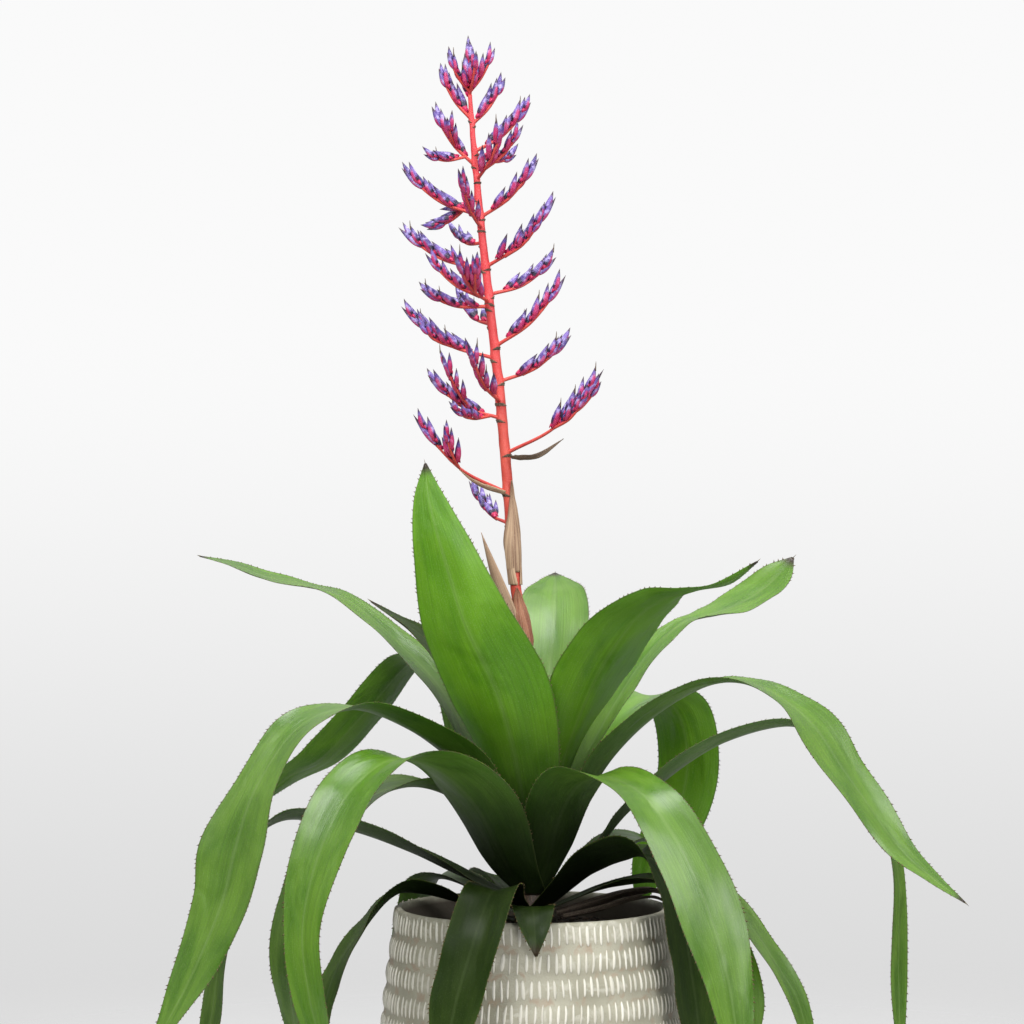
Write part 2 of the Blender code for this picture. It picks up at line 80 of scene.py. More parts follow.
# Share of the leaf's length, share of its width that is left beside the crowded crown, and how
# far its edges stand up as a share of half its width.
LEAF_SECTION = ((0.0, 0.6, 0.3), (0.1, 0.85, 0.34), (0.25, 1.0, 0.32), (0.45, 1.0, 0.22),
                (0.65, 1.0, 0.13), (1.0, 1.0, 0.08))
LEAF_FULL_WIDTH = 30.0
# Distance from the crown, in metres, over which the shade painted into the leaves' colour
# fades out, and how bright they are at the two ends.
HEART_SHADE = (0.05, 0.20, 0.16, 1.0)
TOOTH_PITCH = 3.4
TOOTH_LENGTH = 1.9
# Share of the leaf's length at its foot that has no teeth, and where they stop before its tip.
TOOTHLESS_FOOT = 0.14
LAST_TOOTH = 0.985

SOIL_COLUMNS = 120
SOIL_RINGS = 45
SOIL_HEAP = 3.0
SOIL_MIDDLE = 40.0
CRUMB_COUNT = 420

STEM_SIDES = 22
STEM_RING_PITCH = 2.2
JOINT_SWELL = 0.9
JOINT_REACH = 9.0
# The withered scale under each branch: how far below the branch it starts, and its height on
# the lower and the upper part of the stem.
SCALE_DROP = 4.0
LOWER_SCALE_HEIGHT = 2.4
UPPER_SCALE_HEIGHT = 1.6
LAST_LOWER_SCALE = 12

BUD_SPACING = 8.2
BUD_LENGTH = 23.0
BUD_RADIUS = 3.5
SPIKE_SAG = 0.10
# How often a bud carries a dried thread.
THREAD_SHARE = 0.13


STEM_LINE = (((0, 0, 42), 8.0), ((-1, 0, 60), 5.0), ((-4, 0, 140), 4.6), ((-7, 0, 209), 4.4),
             ((-13, 0, 249), 4.3), ((-19, 0, 326), 4.2), ((-25, 0, 397), 4.0),
             ((-32, 0, 459), 3.5), ((-39, 0, 522), 3.0), ((-46, 0, 593), 2.3),
             ((-49, 0, 636), 1.6))

# ---- the leaves, from the lowest and outermost to the innermost ---------------------------
# Name, the compass way its upper side looks at the tip (0 is +X, 90 is +Y), how many degrees its
# middle is rolled about the midrib, and the points of its midrib, each with the width there.
LEAVES = (
    ("leaf_dry_right", 10, 0,
     ((45, 12, -1, 13), (75, 20, 8, 21), (99, 25, 11, 24), (116, 27, -4, 20), (122, 26, -28, 12),
      (124, 24, -50, 2))),
    ("leaf_left_rim", -110, -20,
     ((-48, 8, 0, 26), (-84, 10, 10, 34), (-106, 8, 10, 36), (-128, 2, -10, 34),
      (-150, -6, -42, 30), (-162, -10, -75, 20), (-164, -12, -112, 2))),
    ("leaf_front_small", -90, 0,
     ((-2, -50, 2, 24), (-1, -85, 9, 32), (0, -106, 11, 32), (1, -121, -2, 22),
      (2, -127, -22, 2))),
    ("leaf_back_low", 100, 0,
     ((-10, 46, 5, 34), (-22, 90, 14, 48), (-30, 122, 2, 50), (-36, 142, -50, 44),
      (-40, 150, -130, 3))),
    ("leaf_back_left_low", 140, 0,
     ((-36, 34, 6, 28), (-68, 66, 15, 38), (-86, 84, 8, 40), (-98, 92, -30, 38),
      (-104, 92, -85, 28), (-110, 92, -135, 3))),
    ("leaf_front_rim", -100, 0,
     ((-18, -44, 10, 28), (-27, -84, 22, 38), (-32, -110, 23, 42), (-42, -130, -2, 42),
      (-51, -137, -30, 40), (-60, -140, -65, 36), (-70, -142, -122, 3))),
    ("leaf_right_low_inner", -70, 0,
     ((52, 4, 13, 24), (96, 2, 19, 32), (132, -2, 2, 34), (158, -6, -34, 32), (169, -8, -72, 28),
      (172, -10, -118, 3))),
    ("leaf_right_short", -60, 15,
     ((31, -34, 24, 40), (56, -52, 40, 52), (84, -60, 46, 54), (104, -60, 28, 52),
      (117, -58, -18, 48), (125, -54, -70, 42), (131, -50, -125, 4))),
    ("leaf_back_right_low", 50, 0,
     ((38, 34, 24, 36), (84, 76, 44, 50), (120, 104, 28, 52), (146, 122, -24, 48),
      (156, 130, -90, 34), (158, 132, -140, 3))),
    ("leaf_right_low", -60, 0,
     ((46, 8, 28, 26), (84, 12, 40, 34), (124, 12, 28, 36), (156, 8, 2, 34), (188, 4, -40, 28),
      (210, 0, -80, 22), (222, -4, -138, 2))),
    ("leaf_left_low", -120, -14,
     ((-44, 15, 18, 30), (-92, 34, 38, 38), (-150, 52, 57, 40), (-198, 66, 62, 34),
      (-230, 76, 36, 30), (-250, 80, -40, 28), (-260, 82, -105, 24), (-266, 82, -150, 2))),
    ("leaf_right_lower_long", -75, 16,
     ((44, 8, 36, 30), (76, 14, 74, 34), (138, 26, 121, 28), (200, 33, 140, 22),
      (240, 35, 124, 20), (272, 36, 82, 19), (290, 36, 28, 18), (291, 34, -60, 17),
      (293, 34, -140, 2))),
    ("leaf_front_left", -115, 0,
     ((-21, -40, 40, 58), (-42, -76, 84, 66), (-70, -110, 115, 58), (-104, -142, 126, 50),
      (-132, -168, 108, 49), (-150, -180, 76, 46), (-163, -187, 38, 39), (-168, -192, 0, 29),
      (-163, -195, -40, 28), (-157, -197, -66, 22), (-150, -198, -104, 2))),
    ("leaf_back", 90, 0,
     ((-2, 38, 56, 38), (-4, 86, 108, 52), (-6, 146, 136, 58), (-8, 206, 112, 56),
      (-10, 244, 40, 44), (-10, 262, -50, 3))),
    ("leaf_front_right", -80, 0,
     ((13, -33, 46, 48), (22, -66, 82, 56), (38, -104, 108, 54), (64, -146, 110, 48),
      (88, -180, 94, 44), (112, -200, 54, 47), (128, -210, 14, 48), (138, -216, -22, 38),
      (144, -220, -58, 26), (149, -222, -98, 2))),
    ("leaf_left_hanging", -130, 0,
     ((-30, -20, 54, 36), (-60, -40, 88, 46), (-94, -58, 100, 48), (-130, -74, 88, 46),
      (-164, -86, 48, 44), (-182, -92, -6, 40), (-184, -94, -50, 32), (-174, -94, -112, 3))),
    ("leaf_back_right", 80, 0,
     ((28, 42, 80, 38), (58, 82, 136, 48), (92, 114, 158, 52), (120, 136, 146, 52),
      (130, 150, 104, 52), (122, 154, 60, 48), (100, 152, 18, 34), (88, 148, -20, 3))),
    ("leaf_left_long", -120, 0,
     ((-30, -29, 77, 42), (-54, -50, 116, 46), (-94, -82, 146, 42), (-138, -114, 162, 38),
      (-176, -141, 148, 38), (-204, -158, 106, 42), (-219, -166, 62, 60), (-227, -171, 26, 53),
      (-240, -174, -8, 42), (-259, -177, -48, 26), (-284, -180, -92, 2))),
    ("leaf_back_left", 115, 0,
     ((-25, 44, 80, 32), (-50, 82, 141, 38), (-75, 110, 183, 36), (-101, 132, 185, 36),
      (-138, 150, 143, 40), (-174, 161, 106, 38), (-206, 168, 86, 24), (-226, 172, 66, 2))),
    ("leaf_right_long", -60, 0,
     ((32, -17, 72, 36), (53, -29, 111, 38), (88, -50, 150, 34), (128, -72, 176, 32),
      (162, -92, 180, 31), (192, -108, 166, 38), (211, -117, 148, 50), (229, -125, 119, 46),
      (246, -132, 95, 40), (272, -143, 59, 28), (294, -151, 39, 15), (317, -158, 22, 1.5))),
    ("leaf_back_upper", 100, 0,
     ((-16, 38, 80, 36), (-26, 84, 146, 48), (-34, 130, 188, 54), (-48, 182, 196, 54),
      (-60, 230, 165, 42), (-68, 262, 100, 3))),
    ("leaf_back_tall", 85, 0,
     ((9, 30, 94, 40), (13, 66, 158, 54), (17, 102, 212, 60), (19, 136, 240, 52),
      (20, 160, 250, 29), (20, 180, 258, 2))),
    ("leaf_left_upper", 120, 0,
     ((-25, 14, 82, 36), (-47, 31, 124, 44), (-72, 52, 166, 44), (-110, 80, 206, 32),
      (-140, 100, 230, 25), (-162, 114, 243, 22), (-190, 130, 249, 26), (-222, 148, 256, 26),
      (-250, 166, 266, 17), (-278, 182, 272, 2))),
    ("leaf_right_upper_back", 60, 0,
     ((26, 8, 86, 30), (52, 22, 134, 38), (86, 42, 188, 36), (118, 58, 219, 22),
      (140, 68, 226, 34), (162, 76, 233, 46), (184, 83, 245, 42), (200, 87, 258, 30),
      (212, 90, 272, 3))),
    ("leaf_front_tall", -95, 0,
     ((-8, -32, 92, 62), (-25, -58, 164, 80), (-52, -74, 226, 69), (-69, -77, 280, 46),
      (-79, -74, 318, 25), (-82, -70, 346, 2))),
    ("leaf_right_upper", -75, 0,
     ((18, -18, 98, 46), (42, -39, 168, 70), (72, -68, 222, 62), (97, -86, 243, 42),
      (118, -98, 250, 17), (144, -110, 256, 11), (167, -122, 272, 2))),
    ("leaf_left_inner", 160, 0,
     ((-20, 8, 92, 34), (-46, 20, 148, 42), (-72, 30, 192, 44), (-92, 34, 214, 36),
      (-128, 36, 238, 3))),
)

# The strips of the dead leaf: width, the compass way they look, and their points.
DEAD_STRIPS = (
    (13, 40, ((20, 5, -8), (50, 13, -1), (76, 20, 6), (98, 24, 8), (113, 26, -2), (119, 26, -20),
              (117, 24, -44))),
    (8, 150, ((22, 8, -9), (56, 20, -2), (80, 30, 5), (100, 35, 9), (116, 36, 4), (126, 33, -10))),
    (7, -60, ((24, 2, -9), (54, 4, -3), (80, 8, 4), (97, 12, 5), (109, 14, -3), (112, 18, -16))),
)
# How far a leaf's margins wave in millimetres, and how young and bright it is from 0 to 1.
# The brightness is partly the leaf's own green and partly painted light: raised on the backlit
# and brightly lit leaves, lowered as painted shade on those low round the rim and deep inside.
PLAIN_LEAF = (1.2, 0.3)
LEAF_LOOKS = {
    "leaf_front_small": (0.6, 0.08),
    "leaf_front_tall": (0.9, 1.0),
    "leaf_back_tall": (0.8, 0.55),
    "leaf_right_upper": (1.4, 1.0),
    "leaf_right_upper_back": (1.6, 0.6),
    "leaf_left_upper": (1.4, 0.5),
    "leaf_front_left": (1.2, 0.5),
    "leaf_front_right": (1.0, 0.45),
    "leaf_left_long": (2.2, 0.4),
    "leaf_right_long": (1.8, 0.45),
    "leaf_back_right": (1.2, 1.0),
    "leaf_back_left": (1.2, 0.6),
    "leaf_left_inner": (1.2, 0.0),
    "leaf_front_rim": (0.8, 0.0),
    "leaf_right_short": (1.2, 0.05),
    "leaf_left_low": (1.2, 0.16),
    "leaf_left_rim": (1.2, 0.1),
}

# ---- the flower spikes, from the lowest up ------------------------------------------------
# Name, height on the stem where it starts, its tip, the share of it that is bare stalk.
SPIKES = (
    ("spike_back_low", 300, (-50, 62, 331), 0.3),
    ("spike_left_low", 325, (-92, -38, 381), 0.5),
    ("spike_right_low", 356, (54, -44, 415), 0.42),
    ("spike_left_dense", 383, (-80, -28, 412), 0.2),
    ("spike_front_dense", 396, (-50, -72, 436), 0.2),
    ("spike_right_second", 412, (29, -10, 444), 0.22),
    ("spike_left_second", 430, (-101, -10, 466), 0.22),
    ("spike_right_third", 440, (25, -24, 489), 0.14),
    ("spike_back_second", 456, (-60, 58, 484), 0.2),
    ("spike_left_third", 470, (-85, -18, 480), 0.16),
    ("spike_front_third", 474, (-60, -66, 504), 0.2),
    ("spike_right_fourth", 480, (18, 24, 508), 0.2),
    ("spike_left_fourth", 500, (-104, 10, 530), 0.22),
    ("spike_right_fifth", 502, (17, -30, 549), 0.14),
    ("spike_back_fifth", 520, (-64, 48, 534), 0.2),
    ("spike_front_fifth", 532, (-56, -58, 567), 0.18),
    ("spike_right_sixth", 541, (4, -15, 581), 0.18),
    ("spike_left_sixth", 542, (-101, -4, 575), 0.2),
    ("spike_left_small", 556, (-80, 18, 532), 0.2),
    ("spike_front_seventh", 570, (-22, -42, 608), 0.16),
    ("spike_left_seventh", 582, (-78, -8, 622), 0.16),
    ("spike_right_seventh", 592, (-2, 0, 627), 0.2),
    ("spike_back_sixth", 590, (-14, 44, 592), 0.2),
    ("spike_right_top", 614, (-22, 2, 646), 0.14),
    ("spike_left_top", 618, (-73, 0, 653), 0.14),
)
TIP_SPIKE = ("spike_tip", (-48, 0, 675))
# Side branches: the spike that each belongs to, where along it the branch leaves, and its tip.
SIDE_BRANCHES = (
    ("spike_left_low", 0.5, (-68, -44, 372)),
    ("spike_right_low", 0.48, (42, -52, 398)),
    ("spike_right_low", 0.6, (52, -34, 407)),
    ("spike_right_second", 0.3, (20, -16, 438)),
    ("spike_right_fifth", 0.25, (8, -36, 536)),
    ("spike_left_second", 0.45, (-88, -22, 454)),
    ("spike_back_low", 0.3, (-38, 50, 318)),
    ("spike_left_dense", 0.12, (-62, -40, 388)),
    ("spike_left_dense", 0.35, (-70, -46, 428)),
    ("spike_front_third", 0.25, (-82, -34, 506)),
    ("spike_front_third", 0.4, (-44, -60, 500)),
    ("spike_front_seventh", 0.3, (-8, -30, 606)),
    ("spike_left_seventh", 0.2, (-82, -14, 586)),
    ("spike_left_seventh", 0.45, (-66, -26, 612)),
    ("spike_tip", 0.12, (-30, -8, 668)),
    ("spike_tip", 0.1, (-66, -14, 664)),
    ("spike_tip", 0.05, (-44, -22, 664)),
    ("spike_tip", 0.05, (-52, 20, 660)),
)


# ---- paths and frames ---------------------------------------------------------------------

def plant_point(point):
    """A point of the plant, in metres in the frame."""
    return Vector((point[0] * MM, point[1] * MM, point[2] * MM + RIM))


def read_outline(outline, share):
    """Smooth reading of a table whose first column runs from 0 to 1."""
    for low, high in zip(outline, outline[1:]):
        if share <= high[0]:
            part = (share - low[0]) / (high[0] - low[0])
            return [a + (b - a) * part for a, b in zip(low[1:], high[1:])]
    return list(outline[-1][1:])


def ease(low, high, value):
    """0 below low, 1 above high and a smooth rise between them."""
    part = min(max((value - low) / (high - low), 0.0), 1.0)
    return part * part * (3.0 - 2.0 * part)


def curve_through(points, step):
    """Points about a step apart, in millimetres, on one smooth curve through the given ones. Any
    width that they carry as a fourth number is smoothed along with them."""
    knots = [0.0]
    for first, second in zip(points, points[1:]):
        knots.append(knots[-1] + (second - first).to_3d().length ** 0.5)
    slopes = []
    for i in range(len(points)):
        low = max(i - 1, 0)
        high = min(i + 1, len(points) - 1)
        slopes.append((points[high] - points[low]) / (knots[high] - knots[low]))
    fine = []
    steps = 40
    for i in range(len(points) - 1):
        span = knots[i + 1] - knots[i]
        for count in range(steps):
            t = count / steps
            fine.append(points[i] * (2 * t ** 3 - 3 * t ** 2 + 1)
                        + slopes[i] * span * (t ** 3 - 2 * t ** 2 + t)
                        + points[i + 1] * (3 * t ** 2 - 2 * t ** 3)
                        + slopes[i + 1] * span * (t ** 3 - t ** 2))
    fine.append(points[-1].copy())
    lengths = [0.0]
    for first, second in zip(fine, fine[1:]):
        lengths.append(lengths[-1] + (second - first).to_3d().length)
    count = max(int(lengths[-1] / (step * MM)), 5)
    path = []
    place = 0
    for i in range(count):
        wanted = lengths[-1] * i / (count - 1)
        while place < len(fine) - 2 and lengths[place + 1] < wanted:
            place += 1
        part = (wanted - lengths[place]) / (lengths[place + 1] - lengths[place])
        path.append(fine[place].lerp(fine[place + 1], min(max(part, 0.0), 1.0)))
    return path


def directions(path):
    """The way the path runs at each of its points."""
    last = len(path) - 1
    return [(path[min(i + 1, last)] - path[max(i - 1, 0)]).normalized() for i in range(last + 1)]


# ---- the mesh of one piece ----------------------------------------------------------------

class Form:
    """Points and faces of one piece. Each point carries how far along and across its leaf, bud
    or tube it lies, and a tone of its own, for the finish to read."""

    def __init__(self):
        self.points = []
        self.marks = []
        self.faces = []
        self.kinds = []

    def point(self, place, along=0.0, across=0.0, tone=0.0):
        self.points.append(place)
        self.marks.append((along, across, tone))
        return len(self.points) - 1

    def face(self, corners, kind=0):
        self.faces.append(corners)
        self.kinds.append(kind)

    def sheet(self, rows, kind=0):
        """Quads between rows of points."""
        for row, following in zip(rows, rows[1:]):
            for i in range(len(row) - 1):
                self.face((row[i], row[i + 1], following[i + 1], following[i]), kind)

    def tube(self, rings, kind=0, loop=False):
        """Quads round closed rings of points, capped at both ends or closed on itself."""
        pairs = list(zip(rings, rings[1:]))
        if loop:
            pairs.append((rings[-1], rings[0]))
        for ring, following in pairs:
            for i in range(len(ring)):
                j = (i + 1) % len(ring)
                self.face((ring[i], ring[j], following[j], following[i]), kind)
        if not loop:
            self.face(tuple(reversed(rings[0])), kind)
            self.face(tuple(rings[-1]), kind)

    def piece(self, name, finishes, slot, replaced=()):
        """The finished object, riding on the frame."""
        mesh = bpy.data.meshes.new(name)
        mesh.from_pydata(self.points, [], self.faces)
        for finish in finishes:
            mesh.materials.append(finish)
        mesh.polygons.foreach_set("material_index", self.kinds)
        for place, mark in enumerate(("along", "across", "tone")):
            stored = mesh.attributes.new(mark, "FLOAT", "POINT")
            stored.data.foreach_set("value", [marks[place] for marks in self.marks])
        mesh.shade_smooth()
        mesh.validate()
        piece = bpy.data.objects.new(name, mesh)
        bpy.context.scene.collection.objects.link(piece)
        close_outwards(piece)
        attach(piece, "root")
        if replaced:
            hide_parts(*replaced)
        return piece


def close_outwards(piece):
    """Turns every face of a closed piece outwards."""
    maker = bmesh.new()
    maker.from_mesh(piece.data)
    bmesh.ops.recalc_face_normals(maker, faces=maker.faces)
    maker.to_mesh(piece.data)
    maker.free()


# ---- finishes -----------------------------------------------------------------------------

class Finish:
    """One material and the nodes in it."""

    def __init__(self, name, roughness=0.5):
        self.material = bpy.data.materials.new(name)
        self.material.use_nodes = True
        self.tree = self.material.node_tree
        self.shader = self.tree.nodes["Principled BSDF"]
        self.shader.inputs["Roughness"].default_value = roughness

    def node(self, kind, **settings):
        made = self.tree.nodes.new("ShaderNode" + kind)
        for key, value in settings.items():
            setattr(made, key, value)
        return made

    def feed(self, socket, source):
        """Sets a socket from another socket, a number or a colour."""
        if isinstance(source, bpy.types.NodeSocket):
            self.tree.links.new(source, socket)
        elif isinstance(source, tuple) and len(source) == 3 and socket.type == "RGBA":
            socket.default_value = (*source, 1.0)
        else:
            socket.default_value = source

    def mark(self, name):
        return self.node("Attribute", attribute_name=name).outputs["Fac"]

    def math(self, operation, a, b=0.0, clamp=False):
        made = self.node("Math", operation=operation, use_clamp=clamp)
        self.feed(made.inputs[0], a)
        self.feed(made.inputs[1], b)
        return made.outputs[0]

    def vector(self, x, y, z):
        made = self.node("CombineXYZ")
        for socket, source in zip(made.inputs, (x, y, z)):
            self.feed(socket, source)
        return made.outputs[0]

    def place(self):
        """Where a point lies in the frame, in metres."""
        return self.node("TexCoord").outputs["Object"]

    def noise(self, where, scale, detail=2.0, distortion=0.0):
        made = self.node("TexNoise")
        self.feed(made.inputs["Vector"], where)
        made.inputs["Scale"].default_value = scale
        made.inputs["Detail"].default_value = detail
        made.inputs["Distortion"].default_value = distortion
        return made.outputs["Fac"]

    def range(self, value, low, high, new_low=0.0, new_high=1.0):
        """A smooth step of a value from one range to another."""
        made = self.node("MapRange", interpolation_type="SMOOTHSTEP")
        for socket, source in zip(made.inputs, (value, low, high, new_low, new_high)):
            self.feed(socket, source)
        return made.outputs[0]

    def mix(self, share, a, b, blend="MIX"):
        made = self.node("Mix", data_type="RGBA", blend_type=blend)
        self.feed(made.inputs[0], share)
        self.feed(made.inputs[6], a)
        self.feed(made.inputs[7], b)
        return made.outputs[2]

    def grey(self, value):
        """A grey as bright as a value."""
        made = self.node("CombineColor")
        for socket in made.inputs[:3]:
            self.feed(socket, value)
        return made.outputs[0]

    def group(self, tree, **sources):
        made = self.node("Group")
        made.node_tree = tree
        for key, source in sources.items():
            self.feed(made.inputs[key.replace("_", " ")], source)
        return made.outputs

    def bump(self, height, depth):
        """Relief of a depth in millimetres."""
        made = self.node("Bump")
        made.inputs["Strength"].default_value = 1.0
        made.inputs["Distance"].default_value = depth * MM
        self.feed(made.inputs["Height"], height)
        self.feed(self.shader.inputs["Normal"], made.outputs[0])

    def colour(self, source):
        self.feed(self.shader.inputs["Base Color"], source)

    def gloss(self, source):
        self.feed(self.shader.inputs["Roughness"], source)


def group_tree(name, ins, outs):
    """A shader group with named number sockets and the nodes at its two ends."""
    tree = bpy.data.node_groups.new(name, "ShaderNodeTree")
    for socket, value in ins:
        made = tree.interface.new_socket(name=socket, in_out="INPUT", socket_type="NodeSocketFloat")
        made.default_value = value
    for socket in outs:
        tree.interface.new_socket(name=socket, in_out="OUTPUT", socket_type="NodeSocketFloat")
    return tree, tree.nodes.new("NodeGroupInput"), tree.nodes.new("NodeGroupOutput")


class Inside(Finish):
    """The same node helpers, working inside a group."""

    def __init__(self, tree):
        self.tree = tree


def make_fibre_group():
    """Lines that run along a leaf or bract, broad cloudy patches and fine pale scales."""
    tree, start, end = group_tree(
        "plant_fibre",
        (("Along", 0.0), ("Across", 0.0), ("Seed", 0.0), ("Fineness", 1.0)),
        ("Lines", "Patches", "Scales"))
    inside = Inside(tree)
    along, across, seed, fineness = start.outputs[:4]
    lines_at = inside.vector(inside.math("MULTIPLY", across, inside.math("MULTIPLY", fineness, 26.0)),
                             inside.math("MULTIPLY", along, 9.0),
                             inside.math("MULTIPLY", seed, 31.0))
    patches_at = inside.vector(inside.math("MULTIPLY", across, 1.3),
                               inside.math("MULTIPLY", along, 16.0),
                               inside.math("MULTIPLY", seed, 47.0))
    tree.links.new(inside.noise(lines_at, 1.0, 3.0), end.inputs["Lines"])
    tree.links.new(inside.noise(patches_at, 1.0, 3.0, 0.6), end.inputs["Patches"])
    tree.links.new(inside.noise(inside.place(), 1500.0, 2.0), end.inputs["Scales"])
    return tree


fibre = make_fibre_group()


def make_leaf_finish(name, upper):
    """Living leaf: the glossier upper side, or the duller scaly underside. Shade is painted into
    the leaves' colour near the crown, and leaves whose tone is near 0, the old ones and the low
    ones round the rim, get a darker painted shade and less gloss."""
    leaf = Finish(name)
    along, across, tone = leaf.mark("along"), leaf.mark("across"), leaf.mark("tone")
    lines, patches, scales = leaf.group(fibre, Along=along, Across=across, Seed=tone)[:3]
    if upper:
        old_and_shaded_pair = ((0.028, 0.066, 0.004), (0.058, 0.110, 0.013))
        young_and_lit_pair = ((0.064, 0.180, 0.002), (0.108, 0.250, 0.005))
    else:
        # The underside's greens are darker than the upper side's: partly its own duller green, partly
        # painted shade on the side turned from the lamps.
        old_and_shaded_pair = ((0.020, 0.046, 0.006), (0.038, 0.076, 0.012))
        young_and_lit_pair = ((0.060, 0.175, 0.002), (0.098, 0.240, 0.004))
    cloud = leaf.range(patches, 0.3, 0.7)
    old_and_shaded_green = leaf.mix(cloud, *old_and_shaded_pair)
    young_and_lit_green = leaf.mix(cloud, *young_and_lit_pair)
    # The tone mixes the leaf's own old and young greens, and also paints light: brighter on backlit
    # and lit leaves, painted shade on low and deep ones.
    green = leaf.mix(tone, old_and_shaded_green, young_and_lit_green)
    stripe = leaf.range(lines, 0.3, 0.7, 0.90, 1.10)
    green = leaf.mix(1.0, green, leaf.grey(stripe), "MULTIPLY")
    side = leaf.math("ABSOLUTE", across)
    groove = leaf.math("SUBTRACT", 1.0, leaf.range(side, 0.0, 0.10))
    green = leaf.mix(leaf.math("MULTIPLY", groove, 0.25), green, (0.16, 0.24, 0.08))
    speck = leaf.range(scales, 0.54, 0.72)
    share = 0.14 if upper else 0.2
    green = leaf.mix(leaf.math("MULTIPLY", speck, share), green, (0.30, 0.38, 0.20))
    # Painted shade: the leaves' colour darkens towards the crown, where the rosette shades itself.
    heart = leaf.node("VectorMath", operation="DISTANCE")
    leaf.feed(heart.inputs[0], leaf.place())
    leaf.feed(heart.inputs[1], (0.0, -0.01, RIM + 0.01))
    shade = leaf.range(heart.outputs["Value"], *HEART_SHADE)
    # Painted shade, darker still on leaves whose tone is near 0: old leaves and the low ones round
    # the rim.
    fresh_and_lit = leaf.range(tone, 0.0, 0.3, 0.42, 1.0)
    shade = leaf.math("MULTIPLY", shade, fresh_and_lit)
    green = leaf.mix(1.0, green, leaf.grey(shade), "MULTIPLY")
    margin = leaf.range(side, 0.95, 1.0)
    green = leaf.mix(leaf.math("MULTIPLY", margin, 0.6), green, (0.045, 0.06, 0.015))
    green = leaf.mix(leaf.range(along, 0.012, 0.002), green, (0.025, 0.016, 0.008))
    leaf.colour(green)
    gloss = leaf.range(patches, 0.3, 0.7, 0.27 if upper else 0.38, 0.42 if upper else 0.52)
    leaf.gloss(leaf.math("ADD", gloss, leaf.range(shade, 1.0, 0.3, 0.0, 0.18)))
    dents_at = leaf.vector(leaf.math("MULTIPLY", across, 1.4), leaf.math("MULTIPLY", along, 24.0),
                           leaf.math("MULTIPLY", tone, 91.0))
    dents = leaf.noise(dents_at, 1.0, 1.0, 0.8)
    relief = leaf.math("ADD", leaf.math("MULTIPLY", lines, 0.22), leaf.math("MULTIPLY", scales, 0.05))
    leaf.bump(leaf.math("ADD", relief, leaf.math("MULTIPLY", dents, 1.7)), 1.0)
    leaf.feed(leaf.shader.inputs["Specular IOR Level"], leaf.range(fresh_and_lit, 0.42, 1.0, 0.06, 0.28))
    leaf.shader.inputs["Subsurface Weight"].default_value = 0.12
    leaf.shader.inputs["Subsurface Radius"].default_value = (1.0, 1.6, 0.3)
    leaf.shader.inputs["Subsurface Scale"].default_value = 0.0016
    leaf.feed(leaf.shader.inputs["Coat Weight"], leaf.math("MULTIPLY", shade, 0.4 if upper else 0.1))
    leaf.shader.inputs["Coat Roughness"].default_value = 0.3
    return leaf.material


def make_tooth_finish():
    """Marginal teeth: greenish at the foot and dark red-brown at the point."""
    tooth = Finish("leaf_tooth", 0.5)
    shade = tooth.noise(tooth.place(), 700.0)
    tooth.colour(tooth.mix(tooth.mark("along"), (0.09, 0.075, 0.02),
                           tooth.mix(shade, (0.05, 0.016, 0.008), (0.11, 0.04, 0.015))))
    return tooth.material


def make_dry_finish(name, dark, light):
    """Dead, papery leaf and bract."""
    dry = Finish(name, 0.75)
    along, across, tone = dry.mark("along"), dry.mark("across"), dry.mark("tone")
    lines, patches, scales = dry.group(fibre, Along=along, Across=across, Seed=tone,
                                       Fineness=0.6)[:3]
    worn = dry.math("ADD", dry.math("MULTIPLY", lines, 0.6), dry.math("MULTIPLY", patches, 0.4))
    brown = dry.mix(dry.range(worn, 0.36, 0.64), dark, light)
    brown = dry.mix(dry.math("MULTIPLY", dry.range(scales, 0.5, 0.7), 0.3), brown, (0.5, 0.4, 0.3))
    dry.colour(brown)
    dry.bump(worn, 0.6)
    return dry.material


def make_stem_finish():
    """Coral stem with a mealy bloom, pinker higher up and brown near the crown."""
    stem = Finish("stem_skin", 0.42)
    along, tone = stem.mark("along"), stem.mark("tone")
    where = stem.place()
    blush = stem.noise(where, 60.0, 3.0)
    meal = stem.noise(where, 1800.0, 2.0)
    coral = stem.mix(stem.range(blush, 0.35, 0.65), (0.48, 0.040, 0.026), (0.62, 0.085, 0.055))
    coral = stem.mix(stem.range(along, 0.5, 0.8), coral, (0.62, 0.036, 0.046))
    coral = stem.mix(stem.range(along, 0.22, 0.06), coral, (0.030, 0.022, 0.010))
    coral = stem.mix(stem.math("MULTIPLY", stem.range(meal, 0.5, 0.68), 0.2), coral,
                     (0.80, 0.36, 0.28))
    coral = stem.mix(tone, coral, (0.045, 0.018, 0.012))
    stem.colour(coral)
    stem.bump(stem.math("ADD", blush, meal), 0.25)
    return stem.material


